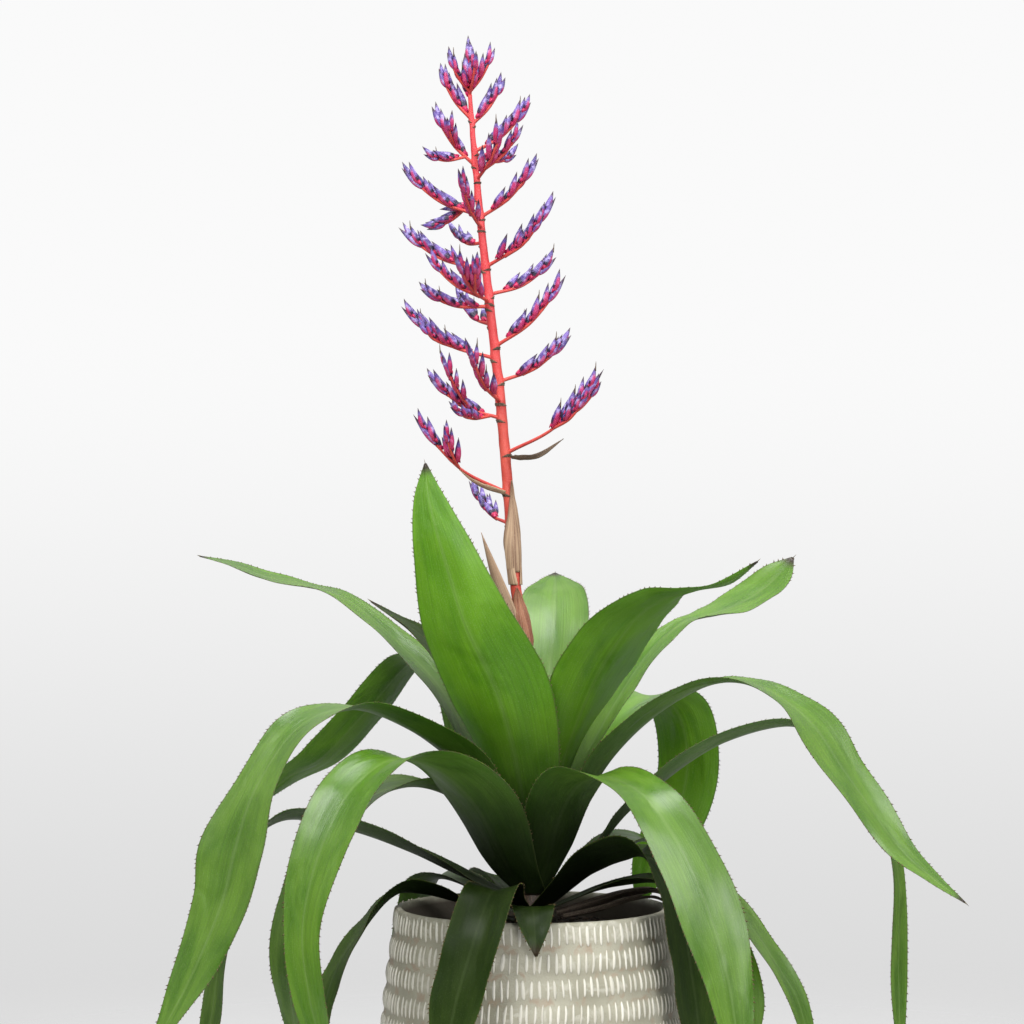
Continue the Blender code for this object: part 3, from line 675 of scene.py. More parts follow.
def make_flower_finish():
    """Bud and bract: pink at the foot, a dark band, violet-blue petals and a dark point."""
    flower = Finish("flower_bud", 0.4)
    along, across, tone = flower.mark("along"), flower.mark("across"), flower.mark("tone")
    where = flower.place()
    blotch = flower.noise(where, 260.0, 3.0)
    fine = flower.noise(where, 1400.0, 2.0)
    shift = flower.math("MULTIPLY", flower.math("SUBTRACT", blotch, 0.5), 0.22)
    place = flower.math("ADD", along, shift)
    pinks = flower.mix(blotch, (0.46, 0.006, 0.060), (0.72, 0.04, 0.16))
    violets = flower.mix(tone, (0.050, 0.032, 0.190), (0.170, 0.105, 0.390))
    violets = flower.mix(flower.range(blotch, 0.48, 0.66), violets, (0.38, 0.32, 0.62))
    dark = (0.012, 0.006, 0.036)
    color = flower.mix(flower.range(place, 0.12, 0.20), pinks, dark)
    color = flower.mix(flower.range(place, 0.27, 0.40), color, violets)
    under = flower.math("MULTIPLY", flower.range(across, -0.15, -0.8),
                        flower.range(place, 0.72, 0.55))
    color = flower.mix(flower.math("MULTIPLY", under, 0.8), color, pinks)
    color = flower.mix(flower.range(place, 0.72, 0.90), color, (0.040, 0.014, 0.030))
    color = flower.mix(flower.math("MULTIPLY", flower.range(fine, 0.55, 0.72), 0.18), color,
                       (0.70, 0.60, 0.8))
    flower.colour(color)
    flower.gloss(flower.range(blotch, 0.3, 0.7, 0.34, 0.5))
    flower.bump(fine, 0.2)
    flower.shader.inputs["Subsurface Weight"].default_value = 0.2
    flower.shader.inputs["Subsurface Radius"].default_value = (1.0, 0.5, 1.0)
    flower.shader.inputs["Subsurface Scale"].default_value = 0.001
    return flower.material


def make_clay_finish():
    """Grey-buff clay with brown stain in the bands between the rows."""
    clay = Finish("pot_clay", 0.55)
    tone, inner = clay.mark("tone"), clay.mark("across")
    where = clay.place()
    cloud = clay.noise(where, 22.0, 4.0)
    grain = clay.noise(where, 900.0, 3.0)
    streak = clay.noise(where, 75.0, 4.0, 1.2)
    base = clay.mix(clay.range(cloud, 0.35, 0.65), (0.30, 0.288, 0.215), (0.40, 0.385, 0.300))
    stain = clay.math("MULTIPLY", clay.range(streak, 0.5, 0.66), clay.range(tone, 0.55, 0.05))
    base = clay.mix(clay.math("MULTIPLY", stain, 0.55), base, (0.33, 0.225, 0.15))
    wash = clay.math("MULTIPLY", clay.range(streak, 0.52, 0.36), clay.range(tone, 0.3, 0.9))
    base = clay.mix(clay.math("MULTIPLY", wash, 0.45), base, (0.62, 0.60, 0.52))
    base = clay.mix(clay.math("MULTIPLY", clay.range(grain, 0.52, 0.7), 0.3), base,
                    (0.25, 0.22, 0.17))
    # Painted shade: the inside of the pot, whose points carry across = 1, is painted darker.
    base = clay.mix(inner, base, (0.16, 0.14, 0.11))
    clay.colour(base)
    clay.gloss(clay.range(cloud, 0.3, 0.7, 0.45, 0.62))
    clay.bump(clay.math("ADD", clay.math("MULTIPLY", grain, 0.5), streak), 0.5)
    return clay.material


def make_slip_finish():
    """Off-white slip of the raised dashes, greyer at their foot and edges as painted shade where they
    meet the wall.
    """
    slip = Finish("pot_slip", 0.45)
    height, tone = slip.mark("across"), slip.mark("tone")
    grain = slip.noise(slip.place(), 500.0, 3.0)
    white = slip.mix(tone, (0.56, 0.54, 0.46), (0.72, 0.70, 0.62))
    # Painted shade: greyer where the dash is low, at its foot and edges.
    white = slip.mix(slip.range(slip.math("ADD", height, slip.math("MULTIPLY", grain, 0.4)),
                                0.75, 0.35), white, (0.40, 0.365, 0.285))
    slip.colour(white)
    slip.bump(grain, 0.3)
    return slip.material


def make_soil_finish():
    """Near-black potting mix with lighter brown crumbs."""
    soil = Finish("soil_mix", 0.95)
    where = soil.place()
    crumbs = soil.noise(where, 240.0, 4.0)
    fine = soil.noise(where, 1300.0, 2.0)
    soil.colour(soil.mix(soil.range(crumbs, 0.4, 0.65), (0.012, 0.008, 0.005),
                         soil.mix(fine, (0.045, 0.028, 0.016), (0.10, 0.065, 0.04))))
    soil.bump(soil.math("ADD", crumbs, fine), 1.0)
    return soil.material


leaf_upper = make_leaf_finish("leaf_upper_side", True)
leaf_under = make_leaf_finish("leaf_underside", False)
leaf_tooth = make_tooth_finish()
dead_leaf = make_dry_finish("leaf_dead", (0.035, 0.024, 0.017), (0.16, 0.125, 0.09))
dry_bract = make_dry_finish("bract_papery", (0.17, 0.085, 0.05), (0.50, 0.34, 0.22))
ruddy_bract = make_dry_finish("bract_ruddy", (0.17, 0.040, 0.020), (0.42, 0.19, 0.11))
dark_bract = make_dry_finish("bract_dark", (0.025, 0.014, 0.009), (0.19, 0.125, 0.08))
stem_skin = make_stem_finish()
flower_bud = make_flower_finish()
pot_clay = make_clay_finish()
pot_slip = make_slip_finish()
soil_mix = make_soil_finish()


# ---- pot and soil -------------------------------------------------------------------------

def outside_radius(height):
    """Radius of the pot's plain outside at a height above its foot, smoothed between points."""
    total = 0.0
    for offset in (-6.0, -3.0, 0.0, 3.0, 6.0):
        level = min(max(height + offset, 0.0), POT_OUTSIDE[-1][0])
        if height < 8.0:
            level = height
        for (z0, r0), (z1, r1) in zip(POT_OUTSIDE, POT_OUTSIDE[1:]):
            if level <= z1:
                total += r0 + (r1 - r0) * (level - z0) / (z1 - z0)
                break
    return total / 5


def row_middle(row, angle):
    """Height of a row of dashes above the pot's foot: the rows rise and fall a little."""
    sway = 0.9 * math.sin(angle + 0.8 * row) + 0.5 * math.sin(3 * angle + 2.1 * row)
    return POT_HEIGHT - FIRST_ROW_BELOW_RIM - ROW_PITCH * row + sway


def row_swell(angle, height):
    """How much the wall swells in a row: 1 in its middle, 0 in the smooth bands."""
    for row in range(ROW_COUNT):
        away = abs(height - row_middle(row, angle)) / (ROW_PITCH / 2)
        if away < 1.0:
            return 0.5 + 0.5 * math.cos(math.pi * away)
    return 0.0


def pot_surface(angle, height):
    """Radius of the finished outside."""
    wobble = noise.noise(Vector((math.cos(angle) * 3, math.sin(angle) * 3, height * 0.06)))
    fade = ease(2.0, 12.0, height) * ease(POT_HEIGHT - 1.0, POT_HEIGHT - 6.0, height)
    relief = ROW_BULGE * row_swell(angle, height) - 0.5 + 0.5 * wobble
    return outside_radius(height) + fade * relief


def on_turn(angle, radius, height):
    """A point round the pot, at a height above its foot in millimetres."""
    return Vector((radius * math.cos(angle), radius * math.sin(angle), height)) * MM \
        + Vector((0, 0, POT_FOOT))


def make_pot():
    """The pot: wavy outside, rounded lip and plain inside, one closed wall."""
    pot = Form()
    rim_outer = outside_radius(POT_HEIGHT - 5.0)
    angles = [2 * math.pi * i / POT_COLUMNS for i in range(POT_COLUMNS)]
    rings = []
    levels = [0.0, 0.6, 1.6, 3.0, 4.6]
    while levels[-1] < POT_HEIGHT - 5.5:
        levels.append(levels[-1] + 1.25)
    for height in levels:
        foot = 2.0 * (1.0 - ease(0.0, 3.0, height))
        rings.append([pot.point(on_turn(a, pot_surface(a, height) - foot, height),
                                tone=row_swell(a, height)) for a in angles])
    for drop, inset in LIP:
        rings.append([pot.point(on_turn(a, rim_outer - inset, POT_HEIGHT - drop), tone=0.9)
                      for a in angles])
    # The inside's points carry across = 1, which the clay finish reads as its painted shade.
    for height in (POT_HEIGHT - 6.0, POT_HEIGHT - 12.0, POT_HEIGHT - 25.0, 140.0, 110.0, 85.0,
                   50.0, POT_FLOOR + 4.0):
        inner = outside_radius(height) - POT_WALL
        rings.append([pot.point(on_turn(a, inner, height), across=1.0) for a in angles])
    inner = outside_radius(POT_FLOOR) - POT_WALL - 5.0
    rings.append([pot.point(on_turn(a, inner, POT_FLOOR), across=1.0) for a in angles])
    pot.tube(rings)
    pot.piece("pot_body", (pot_clay,), "pot_clay", ("pot",))


def make_dashes():
    """Raised dashes pressed on in rows, each with its own length, lean and height."""
    draw = random.Random(11)
    dashes = Form()
    lift = (-0.7, 0.55, 1.0, 0.55, -0.7)
    stations = (0.0, 0.05, 0.16, 0.35, 0.65, 0.84, 0.95, 1.0)
    for row in range(ROW_COUNT):
        around = outside_radius(POT_HEIGHT - FIRST_ROW_BELOW_RIM - ROW_PITCH * row)
        count = round(2 * math.pi * around / DASH_PITCH)
        for i in range(count):
            angle = 2 * math.pi * (i + draw.uniform(-0.12, 0.12)) / count
            length = draw.uniform(13.5, 17.2)
            middle = row_middle(row, angle) + draw.uniform(-0.8, 0.8)
            lean = draw.uniform(-0.07, 0.07) + (0.04 if row % 2 else -0.03)
            half = draw.uniform(1.15, 1.7) * (1.4 if draw.random() < 0.07 else 1.0)
            tall = draw.uniform(0.8, 1.25)
            tone = draw.random()
            bend = draw.uniform(-0.5, 0.5)
            rings = []
            for share in stations:
                ends = math.sqrt(max(1.0 - abs(2 * share - 1.0) ** 3.5, 0.02))
                height = middle + length * (share - 0.5)
                side = lean * length * (share - 0.5) + bend * math.sin(math.pi * share)
                ring = []
                for place, raised in zip((-1.0, -0.6, 0.0, 0.6, 1.0), lift):
                    turn = angle + (side + place * half * ends) / around
                    radius = pot_surface(turn, height) + raised * tall * (ends if raised > 0 else 1)
                    ring.append(dashes.point(on_turn(turn, radius, height),
                                             across=max(raised, 0.0) * ends, tone=tone))
                rings.append(ring)
            dashes.tube(rings)
    dashes.piece("pot_dashes", (pot_slip,), "pot_clay")


def lump(form, centre, sizes, draw, sides=7, levels=4):
    """A small irregular lump."""
    turn = draw.uniform(0, math.pi)
    rings = []
    for level in range(levels + 1):
        polar = math.pi * (0.08 + 0.84 * level / levels)
        ring = []
        for i in range(sides):
            angle = 2 * math.pi * i / sides + turn
            rough = draw.uniform(0.8, 1.15)
            ring.append(form.point(centre + Vector((
                sizes[0] * math.sin(polar) * math.cos(angle) * rough,
                sizes[1] * math.sin(polar) * math.sin(angle) * rough,
                -sizes[2] * math.cos(polar) * rough)) * MM))
        rings.append(ring)
    form.tube(rings)


def soil_heap(radius, edge):
    """How far the soil drops below its middle, in millimetres, towards the pot's wall."""
    return -SOIL_HEAP * ease(SOIL_MIDDLE, edge, radius)


def make_soil():
    """Crumbly potting mix with bark chips, heaped slightly in the middle."""
    soil = Form()
    draw = random.Random(5)
    edge = outside_radius(SOIL_TOP / MM) - POT_WALL - 0.6
    columns = SOIL_COLUMNS
    levels = [3.0 + (edge - 3.0) * i / (SOIL_RINGS - 1) for i in range(SOIL_RINGS)]
    rings = []
    for radius in levels:
        ring = []
        for i in range(columns):
            angle = 2 * math.pi * i / columns
            flat = Vector((radius * math.cos(angle), radius * math.sin(angle), 0.0))
            crumb = noise.noise(flat * 0.16) * 1.4 + noise.noise(flat * 0.5) * 0.9
            rise = soil_heap(radius, edge) + crumb - 1.2
            ring.append(soil.point(flat * MM + Vector((0, 0, SOIL_TOP + rise * MM))))
        rings.append(ring)
    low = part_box("soil")[0].z
    depth = (low - POT_FOOT) / MM
    rings.append([soil.point(on_turn(2 * math.pi * i / columns, edge - 12.0, depth))
                  for i in range(columns)])
    soil.tube(rings)
    for _ in range(CRUMB_COUNT):
        radius = (edge - 4.0) * math.sqrt(draw.random())
        angle = draw.uniform(0, 2 * math.pi)
        rise = soil_heap(radius, edge) - 1.0
        centre = Vector((radius * math.cos(angle) * MM, radius * math.sin(angle) * MM,
                         SOIL_TOP + rise * MM))
        size = draw.uniform(0.9, 2.6)
        lump(soil, centre, (size * draw.uniform(0.8, 1.6), size, size * 0.6), draw)
    soil.piece("soil_surface", (soil_mix,), "potting_soil", ("soil",))


# ---- stem and bracts ----------------------------------------------------------------------

def stem_at(height):
    """Middle and radius of the flower stem at a height above the pot's mouth."""
    for (low, r0), (high, r1) in zip(STEM_LINE, STEM_LINE[1:]):
        if height <= high[2]:
            part = (height - low[2]) / (high[2] - low[2])
            middle = [a + (b - a) * part for a, b in zip(low, high)]
            return Vector(middle), r0 + (r1 - r0) * part
    return Vector(STEM_LINE[-1][0]), STEM_LINE[-1][1]


def spike_heading(height, tip):
    """The compass way that a spike leaves the stem."""
    middle, _ = stem_at(height)
    return math.atan2(tip[1] - middle.y, tip[0] - middle.x)


def make_stem():
    """Crown and stem, swollen a little under each branch."""
    stem = Form()
    sides = STEM_SIDES
    joints = [(height, spike_heading(height, tip)) for _, height, tip, _ in SPIKES]
    rings = []
    for height in (CROWN_BOTTOM + 0.6, 0.0, 20.0, 40.0):
        share = ease(CROWN_BOTTOM, CROWN_TOP, height)
        radius = CROWN_RADIUS[0] + (CROWN_RADIUS[1] - CROWN_RADIUS[0]) * share
        rings.append([stem.point(plant_point((radius * math.cos(2 * math.pi * i / sides),
                                              radius * math.sin(2 * math.pi * i / sides),
                                              height))) for i in range(sides)])
    top = STEM_LINE[-1][0][2]
    height = 44.0
    while height < top:
        middle, radius = stem_at(height)
        ring = []
        for i in range(sides):
            angle = 2 * math.pi * i / sides
            swell = 0.0
            for joint, heading in joints:
                near = 1.0 - abs(height - joint) / JOINT_REACH
                if near > 0:
                    swell += JOINT_SWELL * near * near * max(math.cos(angle - heading), 0.0)
            way = Vector((math.cos(angle), math.sin(angle), 0))
            rough = 0.22 * noise.noise(Vector((way.x * 2, way.y * 2, height * 0.12)))
            place = plant_point(middle + way * (radius + swell + rough))
            ring.append(stem.point(place, along=height / top))
        rings.append(ring)
        height += STEM_RING_PITCH
    stem.tube(rings)
    stem.piece("flower_stem_skin", (stem_skin,), "stem_coral", ("flower_stem",))


def make_joint_scales():
    """The dark withered scale that clasps the stem under each branch."""
    scales = Form()
    for number, (_, height, tip, _) in enumerate(SPIKES):
        heading = spike_heading(height, tip)
        deep = UPPER_SCALE_HEIGHT if number > LAST_LOWER_SCALE else LOWER_SCALE_HEIGHT
        rows_outer, rows_inner = [], []
        for level in range(5):
            share = level / 4
            centre, radius = stem_at(height - SCALE_DROP + deep * share)
            spread = 1.7 * (1.0 - 0.6 * share)
            stand = 0.2 + 0.6 * share * share
            outer, inner = [], []
            for i in range(9):
                angle = heading + spread * (i / 4 - 1.0)
                outward = Vector((math.cos(angle), math.sin(angle), 0))
                for side, gap in ((outer, stand + 0.5), (inner, stand - 0.4)):
                    side.append(scales.point(plant_point(centre + outward * (radius + gap)),
                                             along=share * 0.01, across=i / 4 - 1.0,
                                             tone=number * 0.1))
            rows_outer.append(outer)
            rows_inner.append(inner)
        rings = [outer + inner[::-1] for outer, inner in zip(rows_outer, rows_inner)]
        scales.tube(rings)
    scales.piece("stem_scales", (dark_bract,), "bract_dry")


def make_wrap(name, papery, replaced, foot, tip, widest, spreads, heading, lean):
    """A dry bract wound round the stem: wide at its foot, drawn out to a point above."""
    wrap = Form()
    columns = 25
    count = 46
    rings = []
    for row in range(count):
        share = row / (count - 1)
        height = foot + (tip - foot) * share
        centre, radius = stem_at(height)
        spread = read_outline(spreads, share)[0]
        stand = 0.7 + widest * math.sin(math.pi * min(share * 1.25, 1.0)) ** 0.8 + lean * share ** 3
        outer, inner = [], []
        for i in range(columns):
            across = 2 * i / (columns - 1) - 1.0
            angle = heading + spread * across
            crease = 0.45 * noise.noise(Vector((across * 4, share * 5, foot))) \
                + 0.25 * math.sin(across * 17 + share * 2)
            outward = Vector((math.cos(angle), math.sin(angle), 0))
            out = radius + stand + crease * (0.4 + share)
            outer.append(wrap.point(plant_point(centre + outward * (out + 0.5)),
                                    along=share * 0.08, across=across, tone=foot * 0.01))
            inner.append(wrap.point(plant_point(centre + outward * out),
                                    along=share * 0.08, across=across, tone=foot * 0.01))
        rings.append(outer + inner[::-1])
    wrap.tube(rings)
    wrap.piece(name, (papery,), "bract_dry", replaced)


def blade_rings(form, points, width, faces, tone, thickness=0.5, channel=0.5):
    """A small pointed dry blade through given points, with curled edges."""
    path = curve_through([plant_point(p) for p in points], 1.2)
    side = Vector((math.sin(math.radians(faces)), -math.cos(math.radians(faces)), 0))
    rings = []
    columns = 9
    last = len(path) - 1
    for i, (point, run) in enumerate(zip(path, directions(path))):
        share = i / last
        across = (side - run * side.dot(run)).normalized()
        up = across.cross(run).normalized()
        half = width / 2 * MM * max(1.0 - share ** 1.6, 0.04) * (0.7 + 0.3 * ease(0, 0.3, share))
        top, low = [], []
        for column in range(columns):
            u = 2 * column / (columns - 1) - 1.0
            wave = 0.25 * MM * noise.noise(Vector((u * 3, share * 9, tone * 10)))
            place = point + across * half * u + up * (half * channel * abs(u) ** 1.5 + wave)
            top.append(form.point(place, along=share * 0.06, across=u, tone=tone))
            low.append(form.point(place - up * thickness * MM * (1.0 - 0.5 * abs(u)),
                                  along=share * 0.06, across=u, tone=tone))
        rings.append(top + low[::-1])
    form.tube(rings)


def make_bracts():
    """The dry sheaths round the stem, the slender bract and the two under the lowest spikes."""
    make_wrap("upper_wrap", dry_bract, ("bract_wrap_upper",), 262.0, 334.0, 1.5,
              ((0.0, 2.9), (0.2, 2.5), (0.4, 1.6), (0.6, 0.85), (0.8, 0.42), (1.0, 0.06)),
              math.radians(-60), 1.6)
    make_wrap("upper_wrap_inner", dry_bract, (), 252.0, 300.0, 0.5,
              ((0.0, 3.0), (0.3, 2.6), (0.6, 1.6), (0.9, 0.6), (1.0, 0.1)),
              math.radians(120), 0.4)
    make_wrap("lower_wrap", ruddy_bract, ("bract_wrap_lower",), 192.0, 250.0, 2.4,
              ((0.0, 3.0), (0.3, 2.6), (0.6, 1.7), (0.85, 0.8), (1.0, 0.08)),
              math.radians(-80), 0.2)
    slender = Form()
    blade_rings(slender, ((-13, -5, 212), (-20, -7, 231), (-30, -8, 261), (-40, -9, 293)),
                15, -110, 0.2)
    slender.piece("slender_bract", (dry_bract,), "bract_dry", ("bract_slender",))
    under = Form()
    blade_rings(under, ((-16, -4, 351), (-8, -10, 350), (6, -17, 352), (24, -24, 366)),
                9, -60, 0.7, channel=0.9)
    under.piece("bract_below_spike", (dark_bract,), "bract_dry", ("bract_under_spike",))
    left = Form()
    blade_rings(left, ((-22, -5, 323), (-36, -12, 327), (-47, -19, 333), (-57, -25, 342)),
                7, -120, 0.5, channel=0.9)
    left.piece("bract_below_left_spike", (dry_bract,), "bract_dry")


# ---- leaves -------------------------------------------------------------------------------

def leaf_root(rank, heading):
    """Where a leaf starts on the crown: each leaf a little higher than the one outside it."""
    share = rank / (len(LEAVES) - 1)
    lowest = CROWN_BOTTOM + CROWN_MARGIN
    highest = CROWN_TOP - CROWN_MARGIN
    height = lowest + (highest - lowest) * share
    radius = CROWN_RADIUS[0] + (CROWN_RADIUS[1] - CROWN_RADIUS[0]) * share + ROOT_CLEARANCE
    return Vector((radius * math.cos(heading), radius * math.sin(heading), height))


def add_tooth(form, foot, out, run, up, size, tone):
    """One marginal tooth: a small hooked spur with its foot sunk in the margin."""
    base = foot - out * 0.5 * MM
    wide = 0.75 * size
    thick = 0.3 * size
    corners = [form.point(base - run * wide * MM, along=0.0, tone=tone),
               form.point(base + up * thick * MM, along=0.0, tone=tone),
               form.point(base + run * wide * MM, along=0.0, tone=tone),
               form.point(base - up * thick * MM, along=0.0, tone=tone)]
    tip = form.point(foot + (out * 0.8 + run * 0.75).normalized() * TOOTH_LENGTH * size * MM,
                     along=1.0, tone=tone)
    for i in range(4):
        form.face((corners[i], corners[(i + 1) % 4], tip), 2)
    form.face(tuple(reversed(corners)), 2)


def leaf_sections(stations, heading, turn, roll, ripple, phase):
    """For each station of the midrib: its share of the length, its frame, and the place of
    each column across the leaf."""
    path = [station.to_3d() for station in stations]
    sections = []
    last = len(path) - 1
    for i, (point, run) in enumerate(zip(path, directions(path))):
        share = i / last
        way = heading + turn * share
        level = Vector((math.sin(way), -math.cos(way), 0))
        across = (level - run * level.dot(run)).normalized()
        across.rotate(Quaternion(run, -math.radians(roll) * math.sin(math.pi * share)))
        up = across.cross(run).normalized()
        left, channel = read_outline(LEAF_SECTION, share)
        half = stations[i].w / 2 * left
        spread = min(half / (LEAF_FULL_WIDTH / 2 * MM), 1.0)
        reach = math.hypot(point.x, point.y)
        clasp = 1.0 - ease(0.030, 0.070, reach)
        places = []
        for column in range(LEAF_COLUMNS):
            u = math.sin(math.pi / 2 * (2 * column / (LEAF_COLUMNS - 1) - 1.0))
            wave = ripple * MM * abs(u) ** 3 * ease(0.15, 0.4, share) * spread \
                * math.sin(share * 34 + phase + (1.9 if u > 0 else 0.0)) \
                * (0.5 + noise.noise(Vector((share * 7, phase, u))))
            dent = 1.1 * MM * spread * noise.noise(Vector((share * 9, u * 1.6, phase)))
            flat = point + across * half * u + up * (half * channel * abs(u) ** 1.45 + wave + dent)
            turned = max(min(-half * u / max(reach, 0.008), 2.1), -2.1)
            round_it = Vector((point.x * math.cos(turned) - point.y * math.sin(turned),
                               point.x * math.sin(turned) + point.y * math.cos(turned), point.z))
            places.append((u, flat.lerp(round_it, clasp)))
        sections.append((share, run, across, up, spread, places))
    return sections


def make_leaf(rank, name, faces, roll, points):
    """A strap leaf: a channel along its midrib, waved toothed margins, a hooked point."""
    draw = random.Random(100 + rank)
    ripple, tone = LEAF_LOOKS.get(name, PLAIN_LEAF)
    heading = math.atan2(points[0][1], points[0][0])
    turn = (math.radians(faces) - heading + math.pi) % (2 * math.pi) - math.pi
    root = plant_point(leaf_root(rank, heading))
    rib = [Vector((*root, points[0][3] * MM))]
    rib += [Vector((*plant_point(p), p[3] * MM)) for p in points]
    stations = curve_through(rib, LEAF_STEP)
    length = (len(stations) - 1) * LEAF_STEP
    leaf = Form()
    rings = []
    sections = leaf_sections(stations, heading, turn, roll, ripple, draw.uniform(0, 6))
    for share, run, across, up, spread, places in sections:
        thick = LEAF_THICKNESS * MM * (0.5 + 0.5 * spread)
        top, low = [], []
        for u, place in places:
            along = (1.0 - share) * length * MM
            top.append(leaf.point(place, along=along, across=u, tone=tone))
            under = place - up * thick * (1.0 - 0.72 * abs(u) ** 3)
            low.append(leaf.point(under, along=along, across=u, tone=tone))
        rings.append((top, low))
    tops = [top for top, _ in rings]
    lows = [low for _, low in rings]
    leaf.sheet(tops, 0)
    leaf.sheet(lows, 1)
    leaf.sheet([[top[0] for top in tops], [low[0] for low in lows]], 1)
    leaf.sheet([[top[-1] for top in tops], [low[-1] for low in lows]], 1)
    leaf.face(tuple(tops[0] + lows[0][::-1]), 1)
    leaf.face(tuple(tops[-1] + lows[-1][::-1]), 1)
    for side in (0, -1):
        gone = 0.0
        wanted = draw.uniform(0, TOOTH_PITCH) + length * TOOTHLESS_FOOT
        for before, here in zip(sections, sections[1:]):
            step = (here[5][side][1] - before[5][side][1]).length / MM
            gone += step
            if gone >= wanted and here[0] < LAST_TOOTH:
                _, _, _, up, _, places = here
                edge = places[side][1]
                out = (edge - places[1 if side == 0 else -2][1]).normalized()
                way = (edge - before[5][side][1]).normalized()
                add_tooth(leaf, edge, out, way, up, draw.uniform(0.75, 1.15), draw.random())
                wanted = gone + TOOTH_PITCH * draw.uniform(0.75, 1.25)
    _, run, across, up, _, _ = sections[-1]
    add_tooth(leaf, stations[-1].to_3d(), run, across * 0.2, up, 2.2, 0.0)
    leaf.piece(name + "_blade", (leaf_upper, leaf_under, leaf_tooth),
               "leaf_young" if name == "leaf_front_tall" else "leaf_green", (name,))


def make_dead_leaf(name):
    """The withered leaf over the rim: three curled strips that share one foot."""
    strips = Form()
    for number, (width, faces, points) in enumerate(DEAD_STRIPS):
        blade_rings(strips, points, width, faces, 0.3 * number, 0.6, 0.9)
    strips.piece(name + "_strips", (dead_leaf,), "leaf_dry", (name,))


def make_leaves():
    """Every leaf, from the lowest and outermost to the highest on the crown."""
    for rank, (name, faces, roll, points) in enumerate(LEAVES):
        if name == "leaf_dry_right":
            make_dead_leaf(name)
        else:
            make_leaf(rank, name, faces, roll, points)


# ---- flower spikes ------------------------------------------------------------------------

BUD_OUTLINE = ((0.0, 0.4), (0.12, 0.76), (0.28, 1.0), (0.42, 0.96), (0.6, 0.74), (0.78, 0.44),
               (0.9, 0.2), (1.0, 0.02))


def add_bud(form, foot, way, up, length, radius, tone, along_from=0.0):
    """A pointed bud, bent a little upwards towards its point."""
    across = way.cross(up).normalized()
    lift = across.cross(way).normalized()
    sides = 8
    rings = []
    for share in (0.0, 0.1, 0.22, 0.34, 0.46, 0.58, 0.7, 0.8, 0.88, 0.95, 1.0):
        half = radius * read_outline(BUD_OUTLINE, share)[0]
        centre = foot + way * length * share * MM + lift * length * 0.10 * share ** 2 * MM
        ring = []
        for i in range(sides):
            angle = 2 * math.pi * i / sides
            side = across * math.cos(angle) * 0.86 + lift * math.sin(angle)
            ring.append(form.point(centre + side * half * MM,
                                   along=along_from + (1.0 - along_from) * share,
                                   across=math.sin(angle), tone=tone))
        rings.append(ring)
    form.tube(rings)


def add_scale(form, foot, way, out, length, width, tone):
    """The small keeled bract that cups the foot of a bud."""
    across = way.cross(out).normalized()
    rings = []
    for share, wide in ((0.0, 0.5), (0.3, 1.0), (0.65, 0.7), (1.0, 0.06)):
        half = width * wide * 0.5
        centre = foot + way * length * share * MM + out * (1.0 - share) * 0.3 * MM
        ring = [form.point(centre + across * half * MM, along=0.02, across=-0.5, tone=tone),
                form.point(centre + out * half * 0.55 * MM, along=0.04, across=-1.0, tone=tone),
                form.point(centre - across * half * MM, along=0.02, across=-0.5, tone=tone),
                form.point(centre + out * half * 0.1 * MM, along=0.02, across=-0.5, tone=tone)]
        rings.append(ring)
    form.tube(rings)


def add_stalk(form, path, radii, kind, along):
    """A thin round stalk along a path."""
    rings = []
    side = Vector((0.3, 0.9, 0.1)).normalized()
    for point, run, radius in zip(path, directions(path), radii):
        across = (side - run * side.dot(run)).normalized()
        other = run.cross(across)
        rings.append([form.point(point + (across * math.cos(a) + other * math.sin(a)) * radius * MM,
                                 along=along) for a in [2 * math.pi * i / 8 for i in range(8)]])
    form.tube(rings, kind)


